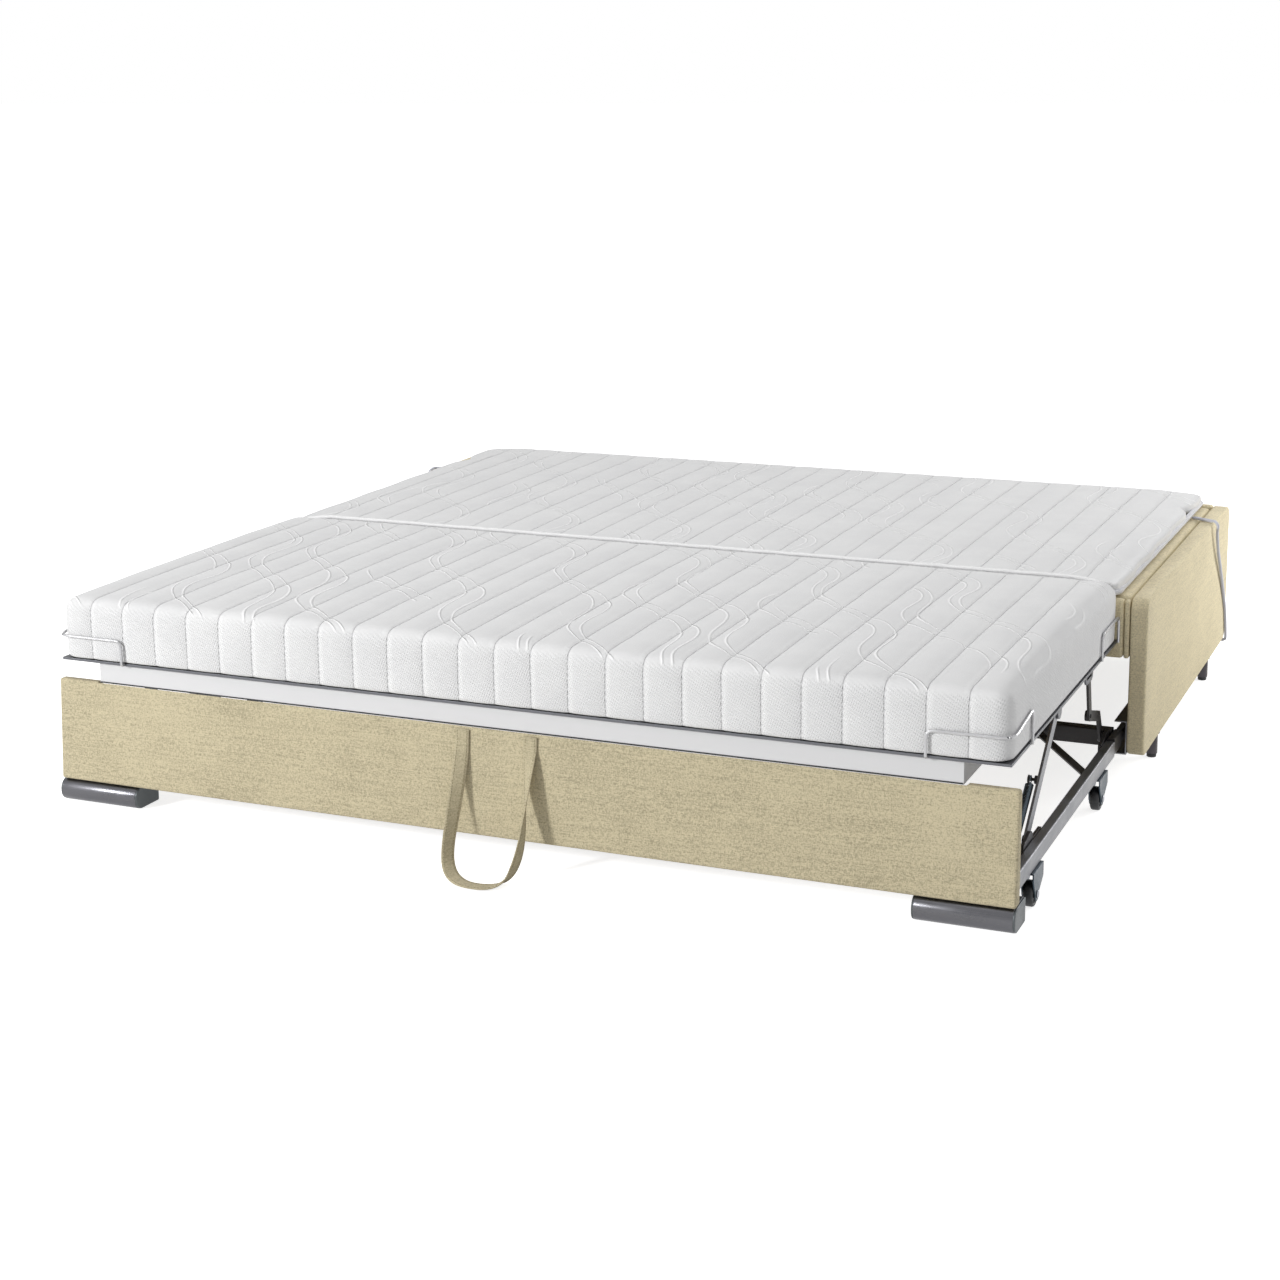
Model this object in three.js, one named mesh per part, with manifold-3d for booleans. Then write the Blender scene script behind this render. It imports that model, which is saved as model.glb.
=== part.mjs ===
// Sleeper sofa with a pull-out bed, opened as a bed.
// A low seat unit stands at the back. A carriage on four casters is pulled out of it, and lift links
// raise the sprung mattress platform from the carriage to the height of the seat.
// Millimetres, +Z up, X across the sofa, -Y towards the foot of the bed. While it is built, Y = 0 is the
// top front edge of the front panel and Z = 0 the floor. The finished group is centred on its own box.
import * as THREE from 'three';
import { mergeVertices } from 'three/addons/utils/BufferGeometryUtils.js';
import Module from 'manifold-3d';

const wasm = await Module();
wasm.setup();

// Clearances
const seatGap = 0.3;
const pinClearance = 0.5;
const runningGap = 0.5;
const armGap = 0.45;
const overrun = 5;

// Mattress and its thin frame
const mattressWidth = 1970;
const mattressDepth = 906;
const mattressThickness = 131;
const mattressOverhang = 9;
const channelPitch = 76;
const channelDepth = 4;
const padCornerRadius = 28;
const padEndRadius = 28;
const mattressCrown = 5;
const mattressDrawIn = 7;
const frameFrontInset = 5;
const frameBarHeight = 5;
const frameBarWidth = 18.6;
const frameWeld = 1.2;
const slatCount = 9;
const slatWidth = 55;
const slatThickness = 6;
const slatTieWidth = 30;
const slatTieCount = 2;
const pivotHeadroom = 1.6;

// Wire retainers that hold the mattress at its corners
const wireDiameter = 6;
const wireBendRadius = 14;
const wireFrontReach = 150;
const wireSideReach = 155;
const wireFrontHeight = 48;
const wireSideHeight = 62;
const wireCornerCut = 16;
const rearWireLength = 160;
const rearWireInset = 12;
const rearWireHeight = 52;
const wireFoot = 2.6;
const wireHook = 14;
const bendLegShare = 0.7;

// Apron under the front of the mattress frame
const apronSideMargin = 85;
const apronSetback = 3;
const apronOverlap = 1;
const apronBoard = 11;
const apronDepth = 160;

// Front panel, feet and pull loop
const panelSideMargin = 15;
const panelBottom = 47;
const panelHeight = 211;
const panelThickness = 19;
const panelLean = 13;
const panelEdgeRadius = 6;
const panelTopLip = 1.5;
const panelTopFall = 27;
const panelCutMargin = 6;
const footLength = 186;
const footDepth = 80;
const footInset = 0;
const footNose = 5;
const footNoseRadius = 22;
const footEdgeRadius = 4;
const footCapThickness = 2;
const footCapInset = 0.6;
const strapWidth = 28;
const strapThickness = 2.4;
const strapSpread = 142;
const strapHem = 26;
const strapGap = 0.6;
const loopReach = 150;
const loopFloorGap = 4;
const loopBow = 17;
const loopSway = 25;
const loopSteps = 15;

// Carriage rails and crossbars
const railSideClearance = 10;
const railWidth = 20;
const railHeight = 34;
const railBottom = 71;
const railLength = 816;
const railWall = 2;
const tubeEdgeRadius = 3;
const crossbarDepth = 25;
const rearCrossbarDepth = 28;
const rearCrossbarHeight = 36;
const rearCrossbarRise = 10;
const braceWidth = 18;
const braceThickness = 4;
const braceRise = 8;
const braceRun = 153;
const braceDrop = 246;
const runnerLength = 265;
const runnerWidth = 16;
const runnerHeight = 26;
const shoeLength = 50;
const channelFlange = 26;
const channelWall = 2.5;
const channelHeight = 72;
const channelRise = 5;
const channelSetback = 8;

// Casters
const wheelRadius = 24;
const wheelWidth = 18;
const hubRadius = 9;
const hubStand = 0.8;
const treadRadius = 4;
const axleRadius = 4;
const cheekThickness = 2.5;
const forkPlateThickness = 2.5;
const forkLength = 76;
const forkFootRadius = 13;
const forkThroat = 26;
const forkTrail = 8;
const frontCasterSetback = 146;
const rearCasterSetback = 711;
const casterOffset = 2;

// Lift links: a straight arm in front, a cranked lever and a strut behind
const liftDrop = 175;
const armLength = 290;
const armRestDegrees = 38.6;
const armPivotSetback = 183;
const linkThickness = 5;
const armHalfWidth = 12.5;
const leverHalfWidth = 11;
const pivotPinRadius = 5;
const kneePinRadius = 4.5;
const pinHeadRadius = 9;
const pinHeadThickness = 2.5;
const earThickness = 4;
const earHalfWidth = 16;
const bracketThickness = 6.3;
const bracketMargin = 18;
const bracketTail = 84;
const leverPivotInset = 37;
const leverPivotRadius = 15;
const leverBracketReach = 66;
const elbowForward = 31;
const elbowRise = 53;
const kneeForward = 145;
const kneeRise = 85;
const strutForward = 25;
const slotPinDrop = 14;
const slotPinRadius = 4;
const slotTravel = 38;
const slotHeightClearance = 1.4;
const slotMargin = 9;

// Lift springs
const springPegAlongArm = 128;
const springPegLift = 5;
const springAnchorReach = 55;
const springPinRadius = 3;
const springPinReach = 2.6;
const springFarClearance = 2.6;
const springCoilRadius = 8.4;
const springWireDiameter = 2.2;
const springCurls = 24;
const springSideStep = 13;
const springEyeRadius = 6;
const pegCollarRadius = 8;
const pegCollarLength = 5;

// Seat unit
const seatSideMargin = 23;
const seatDepth = 1066;
const seatClearance = 3;
const seatCushionThickness = 62;
const seatBaseThickness = 66.7;
const borderThickness = 24;
const borderInset = 12;
const upholsteryRadius = 10;
const cushionCrown = 2;
const cushionRadius = 14;
const cushionDrawIn = 3;
const cushionRearGap = 6;
const sidePanelThickness = 38;
const sidePanelBottom = 56;
const sidePanelCornerRadius = 24;
const panelBevel = 5;
const backBoardThickness = 33;
const legRadius = 12.5;
const legFootRadius = 10.5;
const legFootHeight = 8;
const frontLegSetback = 199;
const rearLegInset = 210;
const topperThickness = 37;
const topperFrontSetback = 6;
const topperRearInset = 18;
const topperCrown = 3;
const topperRadius = 15;
const topperDrawIn = 8;
const topperChannelDepth = 3;
const bandWidth = 10;
const bandThickness = 1.4;
const bandHook = 30;
const bandStartInset = 193;
const bandEdgeInset = 260;
const bandTopDegrees = [90, 67, 45, 22, 0];
const bandTopSteps = [6, 3.5, 1.5, 0.3, 0];
const bandFootDegrees = [0, -30, -60, -90];
const bandFootSteps = [0, 0, 0, 0];
const bandFaceShares = [
  [0.003, 0.965], [0.02, 0.935], [0.055, 0.88], [0.12, 0.8], [0.22, 0.71], [0.35, 0.61],
  [0.5, 0.5], [0.65, 0.39], [0.79, 0.28], [0.91, 0.16],
];
const bandCornerSlack = 0.6;

// Places that follow from the sizes
const seatWidth = mattressWidth + 2 * seatSideMargin;
const panelWidth = mattressWidth + 2 * panelSideMargin;
const apronWidth = mattressWidth - 2 * apronSideMargin;
const railOuterHalfSpan = seatWidth / 2 - railSideClearance;
const seatFront = mattressDepth - mattressOverhang + runningGap;
const seatRear = seatFront + seatDepth;
const railTop = railBottom + railHeight;
const railInner = railOuterHalfSpan - railWidth;
const railFront = panelThickness + seatGap;
const railRear = railFront + railLength;
const bracketInner = railInner - seatGap - bracketThickness;
const armInner = bracketInner - armGap - linkThickness;
const leverInner = armInner - runningGap - linkThickness;
const armRest = THREE.MathUtils.degToRad(armRestDegrees);
const armPivot = new THREE.Vector2(armPivotSetback, railTop);
const armTop = new THREE.Vector2(Math.cos(armRest), Math.sin(armRest))
  .multiplyScalar(armLength).add(armPivot);
const frameBottom = armTop.y + armHalfWidth + pivotHeadroom;
const frameTop = frameBottom + frameBarHeight;
const frameOuter = mattressWidth / 2;
const frameInner = frameOuter - frameBarWidth;
const earInner = bracketInner;
const frameFront = -mattressOverhang + frameFrontInset;
const frameRear = mattressDepth - mattressOverhang;
const slatBottom = frameTop - seatGap - slatThickness;
const mattressBottom = frameTop + seatGap;
const mattressTop = mattressBottom + mattressThickness;
const leverPivot = new THREE.Vector2(seatFront - leverPivotInset, railTop);
const elbow = leverPivot.clone().add(new THREE.Vector2(-elbowForward, elbowRise));
const knee = leverPivot.clone().add(new THREE.Vector2(-kneeForward, kneeRise));
const strutTop = new THREE.Vector2(knee.x - strutForward, frameBottom - slotPinDrop);
const loweredArm = Math.asin((Math.sin(armRest) * armLength - liftDrop) / armLength);
const springAngle = (arm) => springPeg(arm).sub(armPivot).angle();
const springMiddle = (springAngle(armRest) + springAngle(loweredArm)) / 2;
const springAnchor = new THREE.Vector2(Math.cos(springMiddle), Math.sin(springMiddle))
  .multiplyScalar(-springAnchorReach).add(armPivot);
const springX = armInner - springSideStep;
const seatBottom = mattressTop - liftDrop + seatClearance;
const seatTop = seatBottom + seatBaseThickness + seatGap + seatCushionThickness;
const sidePanelInner = seatWidth / 2 + runningGap;
const sidePanelOuter = sidePanelInner + sidePanelThickness;

// The spring's peg on the arm, with the arm at an angle
function springPeg(angle) {
  const along = new THREE.Vector2(Math.cos(angle), Math.sin(angle));
  const across = new THREE.Vector2(-Math.sin(angle), Math.cos(angle));
  return armPivot.clone().addScaledVector(along, springPegAlongArm).addScaledVector(across, springPegLift);
}

// Materials
function makeMaterial(color, roughness, metalness) {
  return new THREE.MeshStandardMaterial({ color, roughness, metalness });
}
const wovenFabric = () => makeMaterial(0xcfc49b, 0.95, 0);
const mattressCover = () => makeMaterial(0xf1f1f2, 0.85, 0);
const apronCover = () => makeMaterial(0xd6d6d8, 0.6, 0);
const brushedAluminium = () => makeMaterial(0xb9bcc2, 0.28, 0.95);
const greySteel = () => makeMaterial(0x8d8f93, 0.45, 0.8);
const blackSteel = () => makeMaterial(0x1d1c1d, 0.55, 0.5);
const springSteel = () => makeMaterial(0x39424a, 0.35, 0.9);
const forkSteel = () => makeMaterial(0x7b8790, 0.4, 0.85);
const wheelPlastic = () => makeMaterial(0x17181a, 0.6, 0);
const elasticTape = () => makeMaterial(0xc4c4ce, 0.8, 0);
const slatWood = () => makeMaterial(0xc9a878, 0.6, 0);

// Solids and booleans
function cleaned(geometry) {
  const bare = geometry.clone();
  bare.deleteAttribute('normal');
  bare.deleteAttribute('uv');
  const merged = mergeVertices(bare);
  const faces = [];
  for (let i = 0; i < merged.index.count; i += 3) {
    const [a, b, c] = [merged.index.getX(i), merged.index.getX(i + 1), merged.index.getX(i + 2)];
    if (a !== b && b !== c && c !== a) {
      faces.push(a, b, c);
    }
  }
  merged.setIndex(faces);
  return merged;
}

function toSolid(geometry) {
  const bare = cleaned(geometry);
  return new wasm.Manifold(new wasm.Mesh({
    numProp: 3,
    vertProperties: new Float32Array(bare.attributes.position.array),
    triVerts: new Uint32Array(bare.index.array),
  }));
}

function toGeometry(solid) {
  const mesh = solid.getMesh();
  const geometry = new THREE.BufferGeometry();
  const positions = new Float32Array(mesh.vertProperties);
  geometry.setAttribute('position', new THREE.BufferAttribute(positions, mesh.numProp));
  geometry.setIndex(new THREE.BufferAttribute(new Uint32Array(mesh.triVerts), 1));
  return geometry;
}

function joined(pieces) {
  return toGeometry(pieces.map(toSolid).reduce((whole, piece) => whole.add(piece)));
}

function cut(body, tools) {
  return toGeometry(tools.map(toSolid).reduce((whole, tool) => whole.subtract(tool), toSolid(body)));
}

// The same geometry on the other side of the sofa
function mirrored(geometry) {
  const bare = cleaned(geometry);
  bare.scale(-1, 1, 1);
  const index = bare.index;
  for (let i = 0; i < index.count; i += 3) {
    const second = index.getX(i + 1);
    index.setX(i + 1, index.getX(i + 2));
    index.setX(i + 2, second);
  }
  return bare;
}

const axisX = new THREE.Vector3(1, 0, 0);
const axisY = new THREE.Vector3(0, 1, 0);
const axisZ = new THREE.Vector3(0, 0, 1);

// A shape drawn in Y and Z, extruded along X from one x to another
function alongX(shape, fromX, toX, curveSegments = 4) {
  const depth = toX - fromX;
  const geometry = new THREE.ExtrudeGeometry(shape, { depth, bevelEnabled: false, curveSegments });
  geometry.applyMatrix4(new THREE.Matrix4().makeBasis(axisY, axisZ, axisX));
  return geometry.translate(fromX, 0, 0);
}

// A shape drawn in X and Z, extruded along Y from one y to another
function alongY(shape, fromY, toY, curveSegments = 4) {
  const depth = toY - fromY;
  const geometry = new THREE.ExtrudeGeometry(shape, { depth, bevelEnabled: false, curveSegments });
  geometry.applyMatrix4(new THREE.Matrix4().makeBasis(axisX, axisZ, axisY.clone().negate()));
  return geometry.translate(0, toY, 0);
}

// A shape drawn in X and Y, extruded up from one z to another
function alongZ(shape, fromZ, toZ, curveSegments = 4) {
  const depth = toZ - fromZ;
  const geometry = new THREE.ExtrudeGeometry(shape, { depth, bevelEnabled: false, curveSegments });
  return geometry.translate(0, 0, fromZ);
}

function box(fromX, toX, fromY, toY, fromZ, toZ) {
  const geometry = new THREE.BoxGeometry(toX - fromX, toY - fromY, toZ - fromZ);
  return geometry.translate((fromX + toX) / 2, (fromY + toY) / 2, (fromZ + toZ) / 2);
}

// A round pin along X through a point of the side view
function pinAlongX(center, radius, fromX, toX, segments = 14) {
  const geometry = new THREE.CylinderGeometry(radius, radius, toX - fromX, segments);
  geometry.rotateZ(-Math.PI / 2);
  return geometry.translate((fromX + toX) / 2, center.x, center.y);
}

function roundedRectangle(left, right, bottom, top, radius, Kind = THREE.Shape) {
  const outline = new Kind();
  outline.absarc(right - radius, bottom + radius, radius, -Math.PI / 2, 0);
  outline.absarc(right - radius, top - radius, radius, 0, Math.PI / 2);
  outline.absarc(left + radius, top - radius, radius, Math.PI / 2, Math.PI);
  outline.absarc(left + radius, bottom + radius, radius, Math.PI, 1.5 * Math.PI);
  outline.closePath();
  return outline;
}

// A polygon with its corners rounded off
function roundedPolygon(corners, radius) {
  const points = corners.map(([x, y]) => new THREE.Vector2(x, y));
  const outline = new THREE.Shape();
  points.forEach((point, i) => {
    const before = points[(i + points.length - 1) % points.length];
    const after = points[(i + 1) % points.length];
    const entry = point.clone().add(before.clone().sub(point).setLength(radius));
    const exit = point.clone().add(after.clone().sub(point).setLength(radius));
    if (i === 0) {
      outline.moveTo(entry.x, entry.y);
    } else {
      outline.lineTo(entry.x, entry.y);
    }
    outline.quadraticCurveTo(point.x, point.y, exit.x, exit.y);
  });
  outline.closePath();
  return outline;
}

// The section of a rectangular steel tube
function tubeSection(left, right, bottom, top, radius, wall) {
  const section = roundedRectangle(left, right, bottom, top, radius);
  const holeRadius = Math.max(radius - wall, radius / 4);
  section.holes.push(roundedRectangle(
    left + wall, right - wall, bottom + wall, top - wall, holeRadius, THREE.Path));
  return section;
}

// A flat link with round ends between two points of the side view
function capsule(from, to, halfWidth) {
  const angle = to.clone().sub(from).angle();
  const shape = new THREE.Shape();
  shape.absarc(from.x, from.y, halfWidth, angle + Math.PI / 2, angle + 1.5 * Math.PI);
  shape.absarc(to.x, to.y, halfWidth, angle - Math.PI / 2, angle + Math.PI / 2);
  shape.closePath();
  return shape;
}

function roundHole(center, radius) {
  const hole = new THREE.Path();
  hole.absarc(center.x, center.y, radius, 0, 2 * Math.PI);
  return hole;
}

// A pin along X with a head on its inner end
function headedPin(center, radius, fromX, toX) {
  return [
    pinAlongX(center, radius, fromX, toX),
    pinAlongX(center, Math.max(pinHeadRadius, radius), fromX - pinHeadThickness, fromX),
  ];
}

// A closed skin over rings of points, all with the same count, with a fan over each end
function skinRings(rings) {
  const count = rings[0].length;
  const points = rings.flat();
  const faces = [];
  for (let ring = 0; ring + 1 < rings.length; ring += 1) {
    for (let i = 0; i < count; i += 1) {
      const a = ring * count + i;
      const b = ring * count + (i + 1) % count;
      faces.push(a, b, b + count, a, b + count, a + count);
    }
  }
  const last = (rings.length - 1) * count;
  [rings[0], rings[rings.length - 1]].forEach((ring, end) => {
    const center = ring.reduce((sum, point) => sum.add(point), new THREE.Vector3()).divideScalar(count);
    points.push(center);
    for (let i = 0; i < count; i += 1) {
      const next = (i + 1) % count;
      faces.push(...(end ? [last + i, last + next, points.length - 1] : [next, i, points.length - 1]));
    }
  });
  const geometry = new THREE.BufferGeometry().setFromPoints(points);
  geometry.setIndex(faces);
  return geometry;
}

// A pad with a crowned top and drawn-in sides. Sewn channels cross it from front to rear.
// A ring of points runs round it in the side view at each place across its width.
function quiltedPad(pad) {
  const ringAt = (x, inset) => {
    const front = pad.front + inset;
    const rear = pad.rear - inset;
    const edgeTop = pad.top - inset - pad.crown;
    const quarterCrownShare = 0.7;
    const arcShare = 1 - Math.SQRT1_2;
    const lowShare = 0.3;
    const low = pad.bottom + (pad.top - pad.bottom) * lowShare;
    const middle = (front + rear) / 2;
    const halfRun = (middle - front) / 2;
    const nearSide = [
      [pad.drawIn, pad.bottom],
      [0, low],
      [0, edgeTop - pad.radius],
      [pad.radius * arcShare, edgeTop - pad.radius * arcShare],
      [pad.radius, edgeTop],
      [halfRun, edgeTop + pad.crown * quarterCrownShare],
    ];
    return [
      ...nearSide.map(([run, z]) => new THREE.Vector3(x, front + run, z)),
      new THREE.Vector3(x, middle, edgeTop + pad.crown),
      ...nearSide.reverse().map(([run, z]) => new THREE.Vector3(x, rear - run, z)),
    ];
  };
  const half = pad.width / 2;
  const channels = Math.max(1, Math.round(pad.width / pad.pitch));
  const places = [
    [-half, pad.endRadius],
    [-half + pad.endRadius * (1 - Math.SQRT1_2), pad.endRadius * (1 - Math.SQRT1_2)],
    [-half + pad.endRadius, 0],
  ];
  const stepsPerChannel = 2;
  for (let step = 1; step < channels * stepsPerChannel; step += 1) {
    const x = -half + (pad.width * step) / (channels * stepsPerChannel);
    if (x > -half + pad.endRadius && x < half - pad.endRadius) {
      places.push([x, step % stepsPerChannel ? 0 : pad.channelDepth]);
    }
  }
  places.push(
    [half - pad.endRadius, 0],
    [half - pad.endRadius * (1 - Math.SQRT1_2), pad.endRadius * (1 - Math.SQRT1_2)],
    [half, pad.endRadius],
  );
  return skinRings(places.map(([x, inset]) => ringAt(x, inset)).reverse());
}

// A flat strap along points, each with the direction that its face looks in
function strap(points, faceDirections, width, thickness) {
  const rings = points.map((point, i) => {
    const before = points[Math.max(i - 1, 0)];
    const after = points[Math.min(i + 1, points.length - 1)];
    const tangent = after.clone().sub(before).normalize();
    const direction = faceDirections[i];
    const face = direction.clone().addScaledVector(tangent, -direction.dot(tangent)).normalize();
    const side = tangent.clone().cross(face);
    return [[-1, -1], [1, -1], [1, 1], [-1, 1]].map(([across, out]) => point.clone()
      .addScaledVector(side, (across * width) / 2)
      .addScaledVector(face, (out * thickness) / 2));
  });
  return outward(skinRings(rings));
}

// The same closed geometry with its faces looking out
function outward(geometry) {
  const position = geometry.attributes.position;
  const index = geometry.index;
  const corner = (i) => new THREE.Vector3().fromBufferAttribute(position, index.getX(i));
  let volume = 0;
  for (let i = 0; i < index.count; i += 3) {
    volume += corner(i).dot(corner(i + 1).cross(corner(i + 2)));
  }
  if (volume > 0) {
    return geometry;
  }
  for (let i = 0; i < index.count; i += 3) {
    const second = index.getX(i + 1);
    index.setX(i + 1, index.getX(i + 2));
    index.setX(i + 2, second);
  }
  return geometry;
}

// A round bar bent through corner points, each corner an arc that keeps to its part of a short leg
function bentBar(corners, diameter, bendRadius, sides = 6) {
  const path = new THREE.CurvePath();
  let start = corners[0];
  for (let i = 1; i + 1 < corners.length; i += 1) {
    const back = corners[i - 1].clone().sub(corners[i]);
    const ahead = corners[i + 1].clone().sub(corners[i]);
    const reach = Math.min(bendRadius, Math.min(back.length(), ahead.length()) * bendLegShare);
    const entry = corners[i].clone().addScaledVector(back.normalize(), reach);
    const exit = corners[i].clone().addScaledVector(ahead.normalize(), reach);
    path.add(new THREE.LineCurve3(start, entry));
    path.add(new THREE.QuadraticBezierCurve3(entry, corners[i], exit));
    start = exit;
  }
  path.add(new THREE.LineCurve3(start, corners[corners.length - 1]));
  const stations = [];
  path.curves.forEach((curve) => {
    const steps = curve.isLineCurve3 ? 1 : 3;
    for (let step = 0; step < steps; step += 1) {
      stations.push([curve.getPoint(step / steps), curve.getTangent(step / steps)]);
    }
  });
  const lastCurve = path.curves[path.curves.length - 1];
  stations.push([lastCurve.getPoint(1), lastCurve.getTangent(1)]);
  return sweptRound(stations, diameter / 2, sides);
}

// A round tube through points with their tangents, its sides carried along without twist
function sweptRound(stations, radius, sides) {
  let normal = new THREE.Vector3();
  const firstTangent = stations[0][1];
  normal.crossVectors(firstTangent, Math.abs(firstTangent.x) < Math.SQRT1_2 ? axisX : axisZ).normalize();
  let previous = firstTangent;
  const rings = stations.map(([point, tangent]) => {
    normal.applyQuaternion(new THREE.Quaternion().setFromUnitVectors(previous, tangent)).normalize();
    previous = tangent;
    const side = tangent.clone().cross(normal);
    return Array.from({ length: sides }, (_, i) => {
      const angle = (2 * Math.PI * i) / sides;
      return point.clone()
        .addScaledVector(normal, radius * Math.cos(angle))
        .addScaledVector(side, radius * Math.sin(angle));
    });
  });
  return outward(skinRings(rings));
}

// A coil spring along the side view, with an eye at each end. Its tube is one unbroken run.
function coilSpring(from, to, farClearance, nearClearance) {
  const along = to.clone().sub(from);
  const length = along.length();
  const axis = new THREE.Vector3(0, along.x, along.y).normalize();
  const across = new THREE.Vector3(0, -axis.z, axis.y);
  const origin = new THREE.Vector3(springX, from.x, from.y);
  const wireRadius = springWireDiameter / 2;
  const eyeRadius = springEyeRadius + wireRadius;
  const slack = springEyeRadius - springPinRadius;
  const nearEye = slack - nearClearance;
  const farEye = length - (slack - farClearance);
  const coilStart = nearEye + eyeRadius + springWireDiameter;
  const coilEnd = farEye - eyeRadius - springWireDiameter;
  const meanRadius = springCoilRadius - wireRadius;
  const stepsPerCurl = 8;
  const steps = springCurls * stepsPerCurl;
  const pitch = (coilEnd - coilStart) / (springCurls + 1);
  const pointAt = (step) => {
    const angle = (2 * Math.PI * step) / stepsPerCurl;
    const grow = Math.min(1, step / stepsPerCurl, (steps - step) / stepsPerCurl);
    return origin.clone()
      .addScaledVector(axis, coilStart + pitch / 2 + pitch * (step / stepsPerCurl))
      .addScaledVector(axisX, meanRadius * grow * Math.cos(angle))
      .addScaledVector(across, meanRadius * grow * Math.sin(angle));
  };
  const route = [origin.clone().addScaledVector(axis, nearEye + eyeRadius)];
  for (let step = 0; step <= steps; step += 1) {
    route.push(pointAt(step));
  }
  route.push(origin.clone().addScaledVector(axis, farEye - eyeRadius));
  const stations = route.map((point, i) => {
    const before = route[Math.max(i - 1, 0)];
    const after = route[Math.min(i + 1, route.length - 1)];
    const tangent = after.clone().sub(before).normalize();
    return [point, i === 0 || i === route.length - 1 ? axis.clone() : tangent];
  });
  const tube = sweptRound(stations, wireRadius, 5);
  const eyes = [nearEye, farEye].map((distance) => {
    const eye = new THREE.TorusGeometry(eyeRadius, wireRadius, 5, 12);
    eye.rotateY(Math.PI / 2);
    return eye.translate(...origin.clone().addScaledVector(axis, distance).toArray());
  });
  reportGap(route, stepsPerCurl, springWireDiameter);
  return joined([tube, ...eyes]);
}

// The least gap of a coil's tube to its own other turns, measured between its points
function reportGap(route, stepsPerCurl, diameter) {
  let least = Infinity;
  route.forEach((point, i) => {
    for (let k = i + stepsPerCurl / 2; k < route.length; k += 1) {
      least = Math.min(least, point.distanceTo(route[k]) - diameter);
    }
  });
  console.log(`least gap of the spring's tube to itself ${least.toFixed(2)} mm`);
}

// Meshes
function makeMesh(name, geometry, material) {
  const mesh = new THREE.Mesh(cleaned(geometry), material);
  mesh.geometry.computeVertexNormals();
  mesh.name = name;
  return mesh;
}

// The right piece as drawn, and its mirror image as the left one
function makePair(name, geometry, material) {
  return [
    makeMesh(`${name}_right`, geometry, material()),
    makeMesh(`${name}_left`, mirrored(geometry), material()),
  ];
}

// Seat unit
function seatBase() {
  const front = seatFront + borderThickness + seatGap;
  const rear = seatRear - backBoardThickness - seatGap;
  const outline = roundedRectangle(-seatWidth / 2, seatWidth / 2, front, rear, upholsteryRadius);
  return makeMesh('seat_base', alongZ(outline, seatBottom, seatBottom + seatBaseThickness), wovenFabric());
}

function seatCushion() {
  return makeMesh('seat_cushion', quiltedPad({
    width: seatWidth,
    front: seatFront + borderThickness + seatGap,
    rear: seatRear - backBoardThickness - cushionRearGap,
    bottom: seatTop - seatCushionThickness,
    top: seatTop,
    pitch: seatWidth / 3,
    channelDepth: 0,
    crown: cushionCrown,
    radius: cushionRadius,
    endRadius: cushionRadius,
    drawIn: cushionDrawIn,
  }), wovenFabric());
}

function seatFrontBorder() {
  const section = roundedRectangle(
    seatFront, seatFront + borderThickness, seatBottom, seatTop - cushionDrawIn, upholsteryRadius);
  const halfWidth = seatWidth / 2 - borderInset;
  return makeMesh('seat_front_border', alongX(section, -halfWidth, halfWidth), wovenFabric());
}

function sidePanels() {
  const outline = new THREE.Shape();
  outline.moveTo(seatFront, sidePanelBottom);
  outline.lineTo(seatRear, sidePanelBottom);
  outline.lineTo(seatRear, seatTop - upholsteryRadius);
  outline.absarc(seatRear - upholsteryRadius, seatTop - upholsteryRadius,
    upholsteryRadius, 0, Math.PI / 2);
  outline.absarc(seatFront + sidePanelCornerRadius, seatTop - sidePanelCornerRadius,
    sidePanelCornerRadius, Math.PI / 2, Math.PI);
  outline.closePath();
  const padded = new THREE.ExtrudeGeometry(outline, {
    depth: sidePanelThickness - 2 * panelBevel,
    bevelEnabled: true,
    bevelThickness: panelBevel,
    bevelSize: panelBevel,
    bevelOffset: -panelBevel,
    bevelSegments: 2,
    curveSegments: 4,
  });
  padded.applyMatrix4(new THREE.Matrix4().makeBasis(axisY, axisZ, axisX));
  padded.translate(sidePanelInner + panelBevel, 0, 0);
  return makePair('side_panel', padded, wovenFabric);
}

function backBoard() {
  const section = roundedRectangle(
    seatRear - backBoardThickness, seatRear, sidePanelBottom, seatTop, upholsteryRadius);
  const halfWidth = seatWidth / 2;
  return makeMesh('back_board', alongX(section, -halfWidth, halfWidth), wovenFabric());
}

function seatLegs() {
  const top = sidePanelBottom - seatGap;
  const profile = [
    [0, 0], [legFootRadius, 0], [legFootRadius, legFootHeight],
    [legRadius, legFootHeight], [legRadius, top], [0, top],
  ].map(([radius, height]) => new THREE.Vector2(radius, height));
  const x = sidePanelInner + sidePanelThickness / 2;
  const places = { front: seatFront + frontLegSetback, rear: seatRear - rearLegInset };
  return Object.entries(places).flatMap(([place, y]) => {
    const leg = new THREE.LatheGeometry(profile, 16);
    leg.rotateX(Math.PI / 2);
    leg.translate(x, y, 0);
    return makePair(`leg_${place}`, leg, blackSteel);
  });
}

function topper() {
  return makeMesh('topper', quiltedPad({
    width: mattressWidth,
    front: seatFront + topperFrontSetback,
    rear: seatRear - topperRearInset,
    bottom: seatTop + seatGap,
    top: seatTop + seatGap + topperThickness,
    pitch: channelPitch,
    channelDepth: topperChannelDepth,
    crown: topperCrown,
    radius: topperRadius,
    endRadius: topperRadius,
    drawIn: topperDrawIn,
  }), mattressCover());
}

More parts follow.
